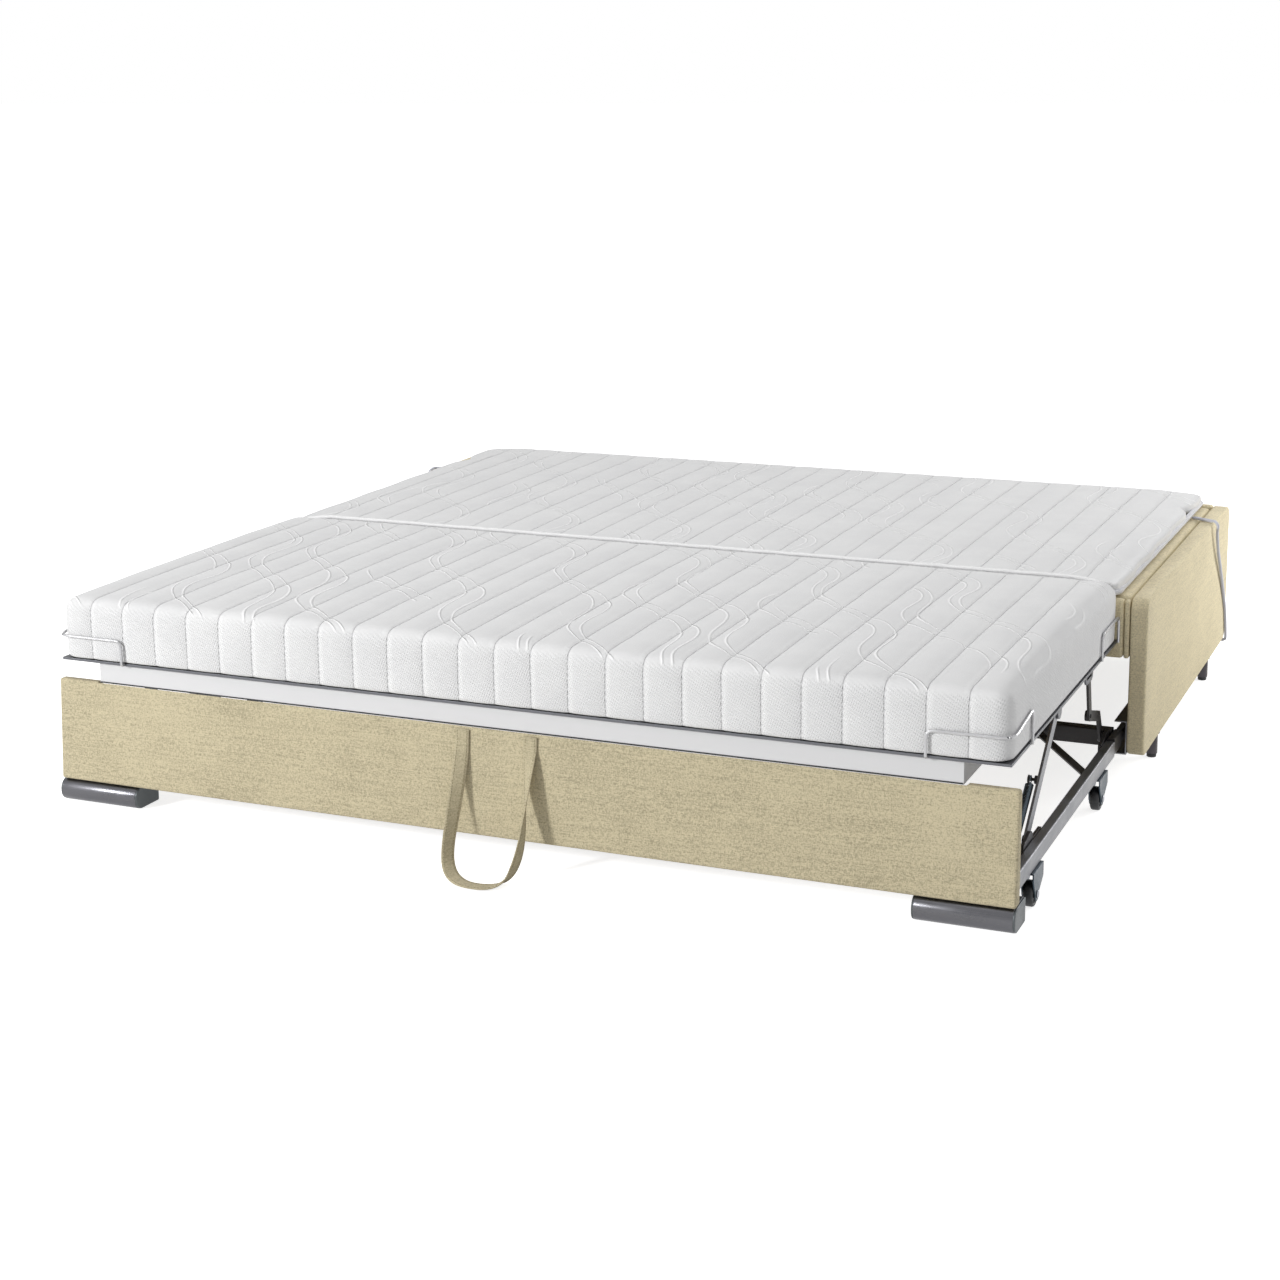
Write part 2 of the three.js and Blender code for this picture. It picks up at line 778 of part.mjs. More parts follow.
// The tape that holds the topper: from its edge, over the side panel and down its face to the rear foot
function topperBands() {
  const lift = bandThickness / 2 + seatGap;
  const startY = seatRear - bandStartInset;
  const edgeY = seatRear - bandEdgeInset;
  const endY = seatRear - bandWidth;
  const faceHeight = seatTop - sidePanelBottom;
  const cornerX = sidePanelOuter - panelBevel;
  const cornerReach = panelBevel + lift + bandCornerSlack;
  const topCornerZ = seatTop - panelBevel;
  const lowCornerZ = sidePanelBottom + panelBevel;
  const stops = [];
  const addStop = (x, y, z, degrees) => {
    const angle = THREE.MathUtils.degToRad(degrees);
    stops.push([new THREE.Vector3(x, y, z), new THREE.Vector3(Math.cos(angle), 0, Math.sin(angle))]);
  };
  const addCorner = (y, z, degrees, steps) => degrees.forEach((turn, i) => {
    const angle = THREE.MathUtils.degToRad(turn);
    const x = cornerX + cornerReach * Math.cos(angle);
    addStop(x, y + steps[i], z + cornerReach * Math.sin(angle), turn);
  });
  addStop(mattressWidth / 2 + bandWidth / 2 + seatGap, startY, seatTop + lift, 90);
  addCorner(edgeY, topCornerZ, bandTopDegrees, bandTopSteps);
  bandFaceShares.forEach(([alongShare, heightShare]) => {
    const y = edgeY + (endY - edgeY) * alongShare;
    addStop(sidePanelOuter + lift, y, sidePanelBottom + faceHeight * heightShare, 0);
  });
  addCorner(endY, lowCornerZ, bandFootDegrees, bandFootSteps);
  addStop(sidePanelOuter - bandHook, endY, sidePanelBottom - lift, -90);
  return makePair('topper_band', strap(
    stops.map(([point]) => point), stops.map(([, face]) => face), bandWidth, bandThickness), elasticTape);
}

// The channels inside the side panels that the carriage's glide shoes run in
function guideChannels() {
  const webOuter = sidePanelInner - seatGap;
  const middle = railBottom + railHeight / 2 + channelRise;
  const bottom = middle - channelHeight / 2;
  const top = middle + channelHeight / 2;
  const section = new THREE.Shape([
    [webOuter, bottom], [webOuter, top],
    [webOuter - channelFlange, top], [webOuter - channelFlange, top - channelWall],
    [webOuter - channelWall, top - channelWall], [webOuter - channelWall, bottom + channelWall],
    [webOuter - channelFlange, bottom + channelWall], [webOuter - channelFlange, bottom],
  ].map(([x, z]) => new THREE.Vector2(x, z)));
  const rear = seatRear - backBoardThickness - channelSetback;
  const channel = alongY(section, seatFront + channelSetback, rear);
  return makePair('guide_channel', channel, greySteel);
}

function seatUnit() {
  const group = new THREE.Group();
  group.add(seatBase(), seatCushion(), seatFrontBorder(), ...sidePanels(), backBoard(), ...seatLegs());
  group.add(topper(), ...topperBands(), ...guideChannels());
  return group;
}

// Carriage
// The panel's top is cut away at a slant behind its front edge, so that the lowering apron clears it
function frontPanel() {
  const section = roundedPolygon([
    [-panelLean, panelBottom],
    [panelThickness, panelBottom],
    [panelThickness, panelBottom + panelHeight],
    [0, panelBottom + panelHeight],
  ], panelEdgeRadius);
  const top = panelBottom + panelHeight;
  const slantAt = (y) => top - (panelTopFall * (y - panelTopLip)) / (panelThickness - panelTopLip);
  const slant = new THREE.Shape([
    new THREE.Vector2(panelTopLip, top),
    new THREE.Vector2(panelThickness + overrun, slantAt(panelThickness + overrun)),
    new THREE.Vector2(panelThickness + overrun, top + overrun),
    new THREE.Vector2(panelTopLip, top + overrun),
  ]);
  const cutHalf = apronWidth / 2 + panelCutMargin;
  const panel = alongX(section, -panelWidth / 2, panelWidth / 2, 3);
  return makeMesh('front_panel', cut(panel, [alongX(slant, -cutHalf, cutHalf, 1)]), wovenFabric());
}

function feet() {
  const front = -panelLean - footNose;
  const rear = front + footDepth;
  const top = panelBottom - seatGap;
  const outline = (inset) => {
    const nose = footNoseRadius - inset;
    const edge = footEdgeRadius - inset;
    const shape = new THREE.Shape();
    shape.absarc(rear - footEdgeRadius, footEdgeRadius, edge, -Math.PI / 2, 0);
    shape.absarc(rear - footEdgeRadius, top - footEdgeRadius, edge, 0, Math.PI / 2);
    shape.absarc(front + footNoseRadius, top - footNoseRadius, nose, Math.PI / 2, Math.PI);
    shape.absarc(front + footNoseRadius, footNoseRadius, nose, Math.PI, 1.5 * Math.PI);
    shape.closePath();
    return shape;
  };
  const outer = panelWidth / 2 - footInset;
  const inner = outer - footLength;
  const body = alongX(outline(0), inner + footCapThickness, outer - footCapThickness, 3);
  const caps = alongX(outline(footCapInset), inner, outer, 3);
  return makePair('foot', joined([body, caps]), brushedAluminium);
}

function sideRails() {
  const section = tubeSection(railInner, railOuterHalfSpan, railBottom, railTop, tubeEdgeRadius, railWall);
  return makePair('side_rail', alongY(section, railFront, railRear, 2), greySteel);
}

function crossbars() {
  const reach = railInner - seatGap;
  const front = tubeSection(
    railFront, railFront + crossbarDepth, railBottom, railTop, tubeEdgeRadius, railWall);
  const rearFront = leverPivot.x + leverHalfWidth + overrun;
  const middle = (railBottom + railTop) / 2 + rearCrossbarRise;
  const rear = tubeSection(rearFront, rearFront + rearCrossbarDepth,
    middle - rearCrossbarHeight / 2, middle + rearCrossbarHeight / 2, tubeEdgeRadius, railWall);
  const rearReach = railOuterHalfSpan - runnerWidth - seatGap;
  return [
    makeMesh('front_crossbar', alongX(front, -reach, reach, 2), blackSteel()),
    makeMesh('rear_crossbar', alongX(rear, -rearReach, rearReach, 2), blackSteel()),
  ];
}

// Flat braces from the rear crossbar out to the side rails, with their feet bent to lie against both
function cornerBraces() {
  const rearY = leverPivot.x + leverHalfWidth + overrun - seatGap;
  const railX = railInner - seatGap;
  const half = braceWidth / 2;
  const z = (railBottom + railTop) / 2 + braceRise;
  const direction = new THREE.Vector2(braceRun, -braceDrop).normalize();
  const footLengthAlong = half / Math.abs(direction.y);
  const footWidthAcross = half / Math.abs(direction.x);
  const outline = new THREE.Shape([
    [railX - braceRun - footLengthAlong, rearY],
    [railX, rearY - braceDrop - footWidthAcross],
    [railX, rearY - braceDrop + footWidthAcross],
    [railX - braceRun + footLengthAlong, rearY],
  ].map(([x, y]) => new THREE.Vector2(x, y)));
  return makePair('corner_brace', alongZ(outline, z, z + braceThickness), blackSteel);
}

// Plates on the inside of the rails: the arm's with its pivot pin and spring pin, and the lever's
function liftBrackets() {
  const bottom = railBottom;
  const armPlate = new THREE.Shape();
  armPlate.moveTo(springAnchor.x - bracketMargin / 2, bottom);
  armPlate.lineTo(armPivot.x + bracketTail, bottom);
  armPlate.lineTo(armPivot.x + bracketTail, railTop);
  armPlate.lineTo(armPivot.x + bracketMargin, armPivot.y);
  armPlate.absarc(armPivot.x, armPivot.y, bracketMargin, 0, Math.PI / 2);
  armPlate.lineTo(springAnchor.x, armPivot.y + bracketMargin / 2);
  armPlate.lineTo(springAnchor.x - bracketMargin / 2, springAnchor.y + bracketMargin / 2);
  armPlate.closePath();
  const inner = bracketInner;
  const outer = bracketInner + bracketThickness;
  const springPinEnd = springX - springPinReach;
  const armBracket = joined([
    alongX(armPlate, inner, outer, 8),
    ...headedPin(armPivot, pivotPinRadius, armInner - seatGap, inner + seatGap),
    pinAlongX(springAnchor, springPinRadius, springPinEnd, inner + seatGap, 12),
    pinAlongX(springAnchor, springEyeRadius, springPinEnd - pinHeadThickness, springPinEnd, 12),
    pinAlongX(springAnchor, springEyeRadius, armInner - overrun, inner + seatGap, 12),
  ]);
  const leverPlate = new THREE.Shape();
  leverPlate.moveTo(leverPivot.x - leverBracketReach, bottom);
  leverPlate.lineTo(leverPivot.x - leverPivotRadius, bottom);
  leverPlate.absarc(leverPivot.x, leverPivot.y, leverPivotRadius, -Math.PI / 2, Math.PI / 2);
  leverPlate.lineTo(leverPivot.x - leverBracketReach, railTop);
  leverPlate.closePath();
  const leverBracket = joined([
    alongX(leverPlate, inner, outer, 8),
    pinAlongX(leverPivot, pinHeadRadius, armInner, inner + seatGap),
    ...headedPin(leverPivot, pivotPinRadius, leverInner - seatGap, armInner + seatGap),
  ]);
  return [
    ...makePair('arm_bracket', armBracket, blackSteel),
    ...makePair('lever_bracket', leverBracket, blackSteel),
  ];
}

// Runners carry on from the rails under the seat and end in plastic glide shoes
function runners() {
  const inner = railOuterHalfSpan - runnerWidth;
  const middle = railBottom + railHeight / 2 + channelRise;
  const front = railRear + seatGap;
  const section = (outer, height) => roundedRectangle(
    inner, outer, middle - height / 2, middle + height / 2, tubeEdgeRadius);
  const bar = alongY(section(railOuterHalfSpan, runnerHeight), front, front + runnerLength, 1);
  const shoeHeight = channelHeight - 2 * channelWall - 2 * runningGap;
  const shoeOuter = sidePanelInner - seatGap - channelWall - runningGap;
  const shoeFront = front + runnerLength - shoeLength;
  const shoe = alongY(section(shoeOuter, shoeHeight), shoeFront, front + runnerLength, 1);
  const endPlateRear = leverPivot.x + leverHalfWidth + overrun + rearCrossbarDepth;
  const endPlate = alongY(section(railOuterHalfSpan, rearCrossbarHeight), front, endPlateRear, 1);
  return makePair('runner', joined([bar, shoe, endPlate]), blackSteel);
}

function casters() {
  const railMiddle = (railInner + railOuterHalfSpan) / 2 + casterOffset;
  const cheekInner = wheelWidth / 2 + hubStand + seatGap;
  const cheekOuter = cheekInner + cheekThickness;
  const plateTop = railBottom - seatGap;
  const plateBottom = plateTop - forkPlateThickness;
  const axle = new THREE.Vector2(-forkTrail, wheelRadius);
  const cheek = new THREE.Shape();
  cheek.moveTo(forkLength / 2, plateTop);
  cheek.lineTo(-forkLength / 2, plateTop);
  cheek.lineTo(-forkLength / 2, plateTop - forkFootRadius);
  cheek.lineTo(axle.x - forkFootRadius, axle.y);
  cheek.absarc(axle.x, axle.y, forkFootRadius, Math.PI, 2 * Math.PI);
  cheek.lineTo(forkLength / 2, plateTop - forkThroat);
  cheek.closePath();
  const fork = joined([
    box(-cheekOuter, cheekOuter, -forkLength / 2, forkLength / 2, plateBottom, plateTop),
    alongX(cheek, cheekInner, cheekOuter, 4),
    alongX(cheek, -cheekOuter, -cheekInner, 4),
    pinAlongX(axle, axleRadius, -cheekOuter - hubStand, cheekOuter + hubStand, 12),
  ]);
  const half = wheelWidth / 2;
  const bore = axleRadius + pinClearance;
  const wheelProfile = [
    [bore, -half - hubStand], [hubRadius, -half - hubStand],
    [hubRadius, -half + hubStand], [wheelRadius - treadRadius, -half],
    [wheelRadius, -half + treadRadius], [wheelRadius, half - treadRadius],
    [wheelRadius - treadRadius, half], [hubRadius, half - hubStand],
    [hubRadius, half + hubStand], [bore, half + hubStand], [bore, -half - hubStand],
  ].map(([radius, along]) => new THREE.Vector2(radius, along));
  const places = { front: frontCasterSetback, rear: rearCasterSetback };
  return Object.entries(places).flatMap(([place, setback]) => [1, -1].flatMap((side) => {
    const sideName = side > 0 ? 'right' : 'left';
    const forkMesh = makeMesh(`caster_fork_${place}_${sideName}`, fork, forkSteel());
    forkMesh.position.set(side * railMiddle, setback, 0);
    const wheel = outward(cleaned(new THREE.LatheGeometry(wheelProfile, 18)));
    const wheelMesh = makeMesh(`caster_wheel_${place}_${sideName}`, wheel, wheelPlastic());
    wheelMesh.rotation.z = -Math.PI / 2;
    wheelMesh.position.set(side * railMiddle, setback - forkTrail, wheelRadius);
    return [forkMesh, wheelMesh];
  }));
}

// The strap that pulls the carriage out: sewn to the panel at both ends, it falls to the floor in a loop.
// Its face looks forward at the panel and turns in and up towards the bottom of the loop.
function pullLoop() {
  const halfSpread = strapSpread / 2;
  const top = panelBottom + panelHeight - panelEdgeRadius;
  const stand = strapThickness / 2 + strapGap;
  const leanAt = (z) => (-panelLean * (panelBottom + panelHeight - z)) / panelHeight;
  const start = new THREE.Vector3(0, leanAt(top - strapHem) - stand, top - strapHem);
  const fall = start.z - loopFloorGap - strapThickness / 2;
  const steadyShare = 0.75;
  const squareness = 3.2;
  const turnPower = 0.6;
  const stationAt = (side, depth) => {
    const spread = halfSpread * Math.pow(1 - Math.pow(depth, squareness), 1 / squareness);
    const bow = loopBow * Math.sin(Math.PI * depth) * depth;
    const reach = loopReach * (steadyShare * depth + (1 - steadyShare) * depth ** 3);
    const sway = loopSway * depth ** 3;
    const sink = fall * depth * (2 - depth);
    return {
      point: start.clone().add(new THREE.Vector3(side * (spread + bow) + sway, -reach, -sink)),
      twist: Math.pow(depth, turnPower) * (Math.PI / 2),
    };
  };
  const hemY = leanAt(top) - stand;
  const hem = (side) => ({ point: new THREE.Vector3(side * halfSpread, hemY, top), twist: 0 });
  const leg = (side) => Array.from({ length: loopSteps }, (_, step) => {
    const share = step / loopSteps;
    return stationAt(side, Math.sin((share * Math.PI) / 2));
  });
  const stations = [hem(-1), ...leg(-1), stationAt(1, 1), ...leg(1).reverse(), hem(1)];
  const points = stations.map((station) => station.point);
  const forward = axisY.clone().negate();
  const faces = stations.map((station, i) => {
    const next = points[Math.min(i + 1, points.length - 1)];
    const tangent = next.clone().sub(points[Math.max(i - 1, 0)]).normalize();
    const front = forward.clone().addScaledVector(tangent, -forward.dot(tangent)).normalize();
    const inward = front.clone().cross(tangent);
    return front.multiplyScalar(Math.cos(station.twist)).addScaledVector(inward, Math.sin(station.twist));
  });
  return makeMesh('pull_loop', strap(points, faces, strapWidth, strapThickness), wovenFabric());
}

function carriage() {
  const group = new THREE.Group();
  group.add(frontPanel(), ...feet(), ...sideRails(), ...crossbars(), ...cornerBraces());
  group.add(...liftBrackets(), ...runners(), ...casters(), pullLoop());
  return group;
}

// Lift links
function frontArms() {
  const shape = capsule(armPivot, armTop, armHalfWidth);
  shape.holes.push(roundHole(armPivot, pivotPinRadius + pinClearance));
  shape.holes.push(roundHole(armTop, pivotPinRadius + pinClearance));
  return makePair('front_arm', alongX(shape, armInner, armInner + linkThickness, 8), greySteel);
}

function springPegs() {
  const peg = springPeg(armRest);
  const armSide = armInner - seatGap;
  const pinEnd = springX - springPinReach;
  const pegPiece = joined([
    pinAlongX(peg, pegCollarRadius, armSide - pegCollarLength, armSide, 16),
    pinAlongX(peg, springPinRadius, pinEnd, armSide - pegCollarLength / 2, 12),
    pinAlongX(peg, pegCollarRadius, pinEnd - pinHeadThickness, pinEnd, 16),
  ]);
  return makePair('spring_peg', pegPiece, blackSteel);
}

function liftSprings() {
  const spring = coilSpring(springAnchor, springPeg(armRest), springFarClearance, seatGap);
  return makePair('lift_spring', spring, springSteel);
}

// Cranked levers, each with the knee pin that its strut turns on
function rearLevers() {
  const from = leverInner;
  const to = leverInner + linkThickness;
  const blank = joined([
    alongX(capsule(leverPivot, elbow, leverHalfWidth), from, to, 6),
    alongX(capsule(elbow, knee, leverHalfWidth), from, to, 6),
    pinAlongX(knee, kneePinRadius, from + seatGap, to + linkThickness + runningGap + pinHeadThickness),
  ]);
  const bore = pinAlongX(leverPivot, pivotPinRadius + pinClearance, from - overrun, to + overrun);
  const lever = cut(blank, [bore]);
  return makePair('rear_lever', lever, blackSteel);
}

// Struts from the knee up to the slotted bracket, each with its slot pin
function rearStruts() {
  const from = armInner;
  const to = armInner + linkThickness;
  const blank = joined([
    alongX(capsule(knee, strutTop, leverHalfWidth), from, to, 6),
    pinAlongX(strutTop, slotPinRadius, from + seatGap, earInner + earThickness + seatGap),
  ]);
  const strut = cut(blank, [pinAlongX(knee, kneePinRadius + pinClearance, from - overrun, to + overrun)]);
  return makePair('rear_strut', strut, blackSteel);
}

// Mattress platform
// Each side bar carries the ear that the arm turns on and the slotted plate that the strut's pin runs in
function sideBars() {
  const bar = box(frameInner, frameOuter, frameFront, frameRear, frameBottom, frameTop);
  const inner = earInner;
  const outer = earInner + earThickness;
  const weld = frameBottom + frameWeld;
  const earShape = new THREE.Shape();
  earShape.absarc(armTop.x, armTop.y, earHalfWidth, Math.PI, 2 * Math.PI);
  earShape.lineTo(armTop.x + earHalfWidth, weld);
  earShape.lineTo(armTop.x - earHalfWidth, weld);
  earShape.closePath();
  const slotHalfHeight = slotPinRadius + slotHeightClearance;
  const slotFront = new THREE.Vector2(strutTop.x - slotTravel, strutTop.y);
  const plateHalf = slotHalfHeight + slotMargin;
  const slotShape = new THREE.Shape();
  slotShape.absarc(slotFront.x, slotFront.y, plateHalf, Math.PI, 1.5 * Math.PI);
  slotShape.absarc(strutTop.x, strutTop.y, plateHalf, 1.5 * Math.PI, 2 * Math.PI);
  slotShape.lineTo(strutTop.x + plateHalf, weld);
  slotShape.lineTo(slotFront.x - plateHalf, weld);
  slotShape.closePath();
  slotShape.holes.push(new THREE.Path(capsule(slotFront, strutTop, slotHalfHeight).getPoints(5)));
  const pin = headedPin(armTop, pivotPinRadius, armInner - seatGap, inner + seatGap);
  return makePair('frame_side_bar', joined([
    bar, alongX(earShape, inner, outer, 5), alongX(slotShape, inner, outer, 4), ...pin,
  ]), greySteel);
}

function crossBars() {
  const reach = frameInner - seatGap;
  const bar = (front) => box(-reach, reach, front, front + frameBarWidth, frameBottom, frameTop);
  return [
    makeMesh('frame_front_bar', bar(frameFront), greySteel()),
    makeMesh('frame_rear_bar', bar(frameRear - frameBarWidth), greySteel()),
  ];
}

// Wooden slats on long ties, laid between the bars of the frame
function slatDeck() {
  const reach = frameInner - seatGap;
  const front = frameFront + frameBarWidth + seatGap;
  const rear = frameRear - frameBarWidth - seatGap;
  const top = slatBottom + slatThickness;
  const pitch = (rear - front - slatWidth) / (slatCount - 1);
  const slats = Array.from({ length: slatCount }, (_, i) => box(
    -reach, reach, front + i * pitch, front + i * pitch + slatWidth, slatBottom, top));
  const ties = Array.from({ length: slatTieCount }, (_, i) => {
    const x = (mattressWidth / (slatTieCount + 1)) * (i + 1) - mattressWidth / 2;
    const top = slatBottom + slatThickness / 2;
    return box(x - slatTieWidth / 2, x + slatTieWidth / 2, front, rear, slatBottom, top);
  });
  return makeMesh('slat_deck', joined([...slats, ...ties]), slatWood());
}

// Wire retainers round the corners of the mattress, their legs welded to the frame
function wireRetainers() {
  const radius = wireDiameter / 2;
  const sideX = frameOuter + seatGap + radius;
  const frontY = -mattressOverhang - seatGap - radius;
  const footZ = frameBottom + wireFoot;
  const hookZ = frameBottom + frameBarHeight / 2;
  const legX = frameOuter - wireFrontReach;
  const frontZ = frameTop + wireFrontHeight;
  const sideZ = frameTop + wireSideHeight;
  const sideY = -mattressOverhang + wireSideReach - wireHook;
  const frontWire = bentBar([
    new THREE.Vector3(legX, frameFront - seatGap, hookZ),
    new THREE.Vector3(legX, frontY, hookZ),
    new THREE.Vector3(legX, frontY, frontZ),
    new THREE.Vector3(sideX - wireCornerCut, frontY, frontZ),
    new THREE.Vector3(sideX, frontY + wireCornerCut, frontZ),
    new THREE.Vector3(sideX, sideY, sideZ),
    new THREE.Vector3(sideX, sideY, footZ),
  ], wireDiameter, wireBendRadius);
  const rearEnd = frameRear - rearWireInset;
  const rearZ = frameTop + rearWireHeight;
  const rearWire = bentBar([
    new THREE.Vector3(sideX, rearEnd - rearWireLength, footZ),
    new THREE.Vector3(sideX, rearEnd - rearWireLength, rearZ),
    new THREE.Vector3(sideX, rearEnd, rearZ),
    new THREE.Vector3(sideX, rearEnd, footZ),
  ], wireDiameter, wireBendRadius);
  return [
    ...makePair('wire_retainer_front', frontWire, greySteel),
    ...makePair('wire_retainer_rear', rearWire, greySteel),
  ];
}

// The board that closes the gap below the front of the mattress, with a return at each end
function apron() {
  const bottom = panelBottom + panelHeight - apronOverlap;
  const half = apronWidth / 2;
  const rear = apronSetback + apronDepth;
  const board = box(-half, half, apronSetback, apronSetback + apronBoard, bottom, frameBottom - seatGap);
  const endReturns = [-half, half - apronBoard].map((x) => box(
    x, x + apronBoard, apronSetback + apronBoard / 2, rear, bottom, slatBottom - seatGap));
  return makeMesh('apron', joined([board, ...endReturns]), apronCover());
}

function mattress() {
  return makeMesh('mattress', quiltedPad({
    width: mattressWidth,
    front: -mattressOverhang,
    rear: mattressDepth - mattressOverhang,
    bottom: mattressBottom,
    top: mattressTop,
    pitch: channelPitch,
    channelDepth,
    crown: mattressCrown,
    radius: padCornerRadius,
    endRadius: padEndRadius,
    drawIn: mattressDrawIn,
  }), mattressCover());
}

function platform() {
  const group = new THREE.Group();
  group.add(...sideBars(), ...crossBars(), slatDeck(), ...wireRetainers(), apron(), mattress());
  return group;
}

function liftLinks() {
  const group = new THREE.Group();
  group.add(...frontArms(), ...springPegs(), ...liftSprings(), ...rearLevers(), ...rearStruts());
  return group;
}

const sofa = new THREE.Group();
sofa.add(seatUnit(), carriage(), liftLinks(), platform());
const extent = new THREE.Box3().setFromObject(sofa);
sofa.position.y = -(extent.min.y + extent.max.y) / 2;

export default sofa;
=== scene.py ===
from math import copysign, cos, pi, radians, sin
import bmesh
import bpy
import numpy as np
from mathutils import Matrix, Vector


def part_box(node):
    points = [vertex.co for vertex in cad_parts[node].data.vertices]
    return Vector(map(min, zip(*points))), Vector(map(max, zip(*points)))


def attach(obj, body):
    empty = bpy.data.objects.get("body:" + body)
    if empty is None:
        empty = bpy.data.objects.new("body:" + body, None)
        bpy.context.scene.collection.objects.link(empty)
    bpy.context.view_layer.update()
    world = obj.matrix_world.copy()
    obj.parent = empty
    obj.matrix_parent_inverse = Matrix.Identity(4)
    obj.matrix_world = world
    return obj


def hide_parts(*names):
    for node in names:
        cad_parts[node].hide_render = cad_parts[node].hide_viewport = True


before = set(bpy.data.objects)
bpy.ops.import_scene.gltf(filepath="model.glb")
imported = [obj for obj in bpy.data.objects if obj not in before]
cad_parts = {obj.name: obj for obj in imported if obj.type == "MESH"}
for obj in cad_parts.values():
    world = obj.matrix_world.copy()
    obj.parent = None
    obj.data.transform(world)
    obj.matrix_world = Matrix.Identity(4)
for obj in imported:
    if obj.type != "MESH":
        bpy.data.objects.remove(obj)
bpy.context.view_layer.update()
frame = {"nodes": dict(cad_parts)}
nodes = frame["nodes"]
scene = bpy.context.scene
SIDES = ((1, "right"), (-1, "left"))

# Sizes in metres. The cover is sewn into channels and crossed by pairs of wavy lines.
PITCH = 1.97 / 26
SCROLL_EVERY = 0.30
SCROLL_WIDTH = 0.0092
RIB_PERIOD = 0.0068
CROSS_RIB_PERIOD = 0.0046
WEAVE_PERIOD = 0.00264

# The topper's ends are drawn in beside the tape.
PINCH_DEPTH = 0.021
PINCH_RUN = 0.09
PINCH_PLACE = 0.8656
PINCH_HALF_WIDTH = 0.028
SCALLOP_DEPTH = 0.004

# Front panel: where its front face is at the top, and how far that leans out
FRONT_PLANE = -0.897864
PANEL_LEAN = 0.013
PANEL_TOP = 0.258
PANEL_HEIGHT = 0.211
SEAM_DEPTH = 0.003
SEAM_SPREAD = 0.004

# Stage
FLOOR_HALF = 60
FLOOR_COLOUR = (0.8, 0.8, 0.8, 1)
FLOOR_GLOW = 0.78
WORLD_STRENGTH = 0.43
WHITE = (1, 1, 1, 1)

# Camera
FRAME_PIXELS = 1280
SENSOR = 36
FOCAL_PIXELS = 2262.15
CAMERA_YAW = 0.40345
CAMERA_PITCH = 0.19962
CAMERA_ROLL = -0.00958
CAMERA_PLACE = (1.8567, -4.5503, 1.4996)
CAMERA_SHIFT = -0.1

# Colours, linear
BEIGE_LIGHT = (0.625, 0.552, 0.374, 1)
BEIGE_DARK = (0.36, 0.316, 0.211, 1)
COVER_WHITE = (0.765, 0.765, 0.765, 1)
COVER_SHADE = (0.705, 0.705, 0.71, 1)
# White of the stitched wavy lines, also used for the painted highlight beside each seam
COVER_LINE_AND_HIGHLIGHT = (0.95, 0.95, 0.95, 1)
# Grey painted as shade in the sunk seam grooves
COVER_SEAM_SHADE = (0.50, 0.50, 0.515, 1)


def srgb(r, g, b):
    """Linear colour of an sRGB one given in 0 to 255."""
    return tuple((c / 255 / 12.92) if c <= 10.3 else ((c / 255 + 0.055) / 1.055) ** 2.4 for c in (r, g, b)) + (1,)


def shaded(colour, factor, plus=0.0):
    """A colour made darker or paler."""
    return tuple(min(c * factor + plus, 1.0) for c in colour[:3]) + (1,)


class Value:
    """A number from a material's node, with the usual signs of arithmetic."""

    def __init__(self, socket):
        self.socket = socket

    def math(self, operation, a, b=0.0):
        node = self.socket.id_data.nodes.new("ShaderNodeMath")
        node.operation = operation
        connect(node.inputs[0], a)
        connect(node.inputs[1], b)
        return Value(node.outputs[0])

    def __add__(self, other):
        return self.math("ADD", self, other)

    def __sub__(self, other):
        return self.math("SUBTRACT", self, other)

    def __rsub__(self, other):
        return self.math("SUBTRACT", other, self)

    def __mul__(self, other):
        return self.math("MULTIPLY", self, other)

    def __truediv__(self, other):
        return self.math("DIVIDE", self, other)

    def __abs__(self):
        return self.math("ABSOLUTE", self)

    def most(self, other):
        return self.math("MAXIMUM", self, other)

    def between(self, low, high, to_low=0.0, to_high=1.0):
        """A smooth step from one value to another as this one goes from low to high."""
        node = self.socket.id_data.nodes.new("ShaderNodeMapRange")
        node.interpolation_type = "SMOOTHSTEP"
        for socket, value in zip(node.inputs[:5], (self, low, high, to_low, to_high)):
            connect(socket, value)
        return Value(node.outputs[0])

    def wave(self, period, phase=0.0):
        """Sine of a length, from -1 to 1."""
        return self.math("SINE", self * (2 * pi / period) + phase)

    def line(self, period, width, at=0.0):
        """1 on lines a period apart, falling to 0 half a width away."""
        share = abs(self.math("FRACT", self / period + (0.5 - at)) - 0.5)
        return share.between(0.0, width / period / 2, 1.0, 0.0)


def connect(socket, value):
    """Feeds an input from a value, from another node's output or from a constant."""
    if isinstance(value, Value):
        value = value.socket
    if isinstance(value, bpy.types.NodeSocket):
        socket.id_data.links.new(value, socket)
    else:
        socket.default_value = value


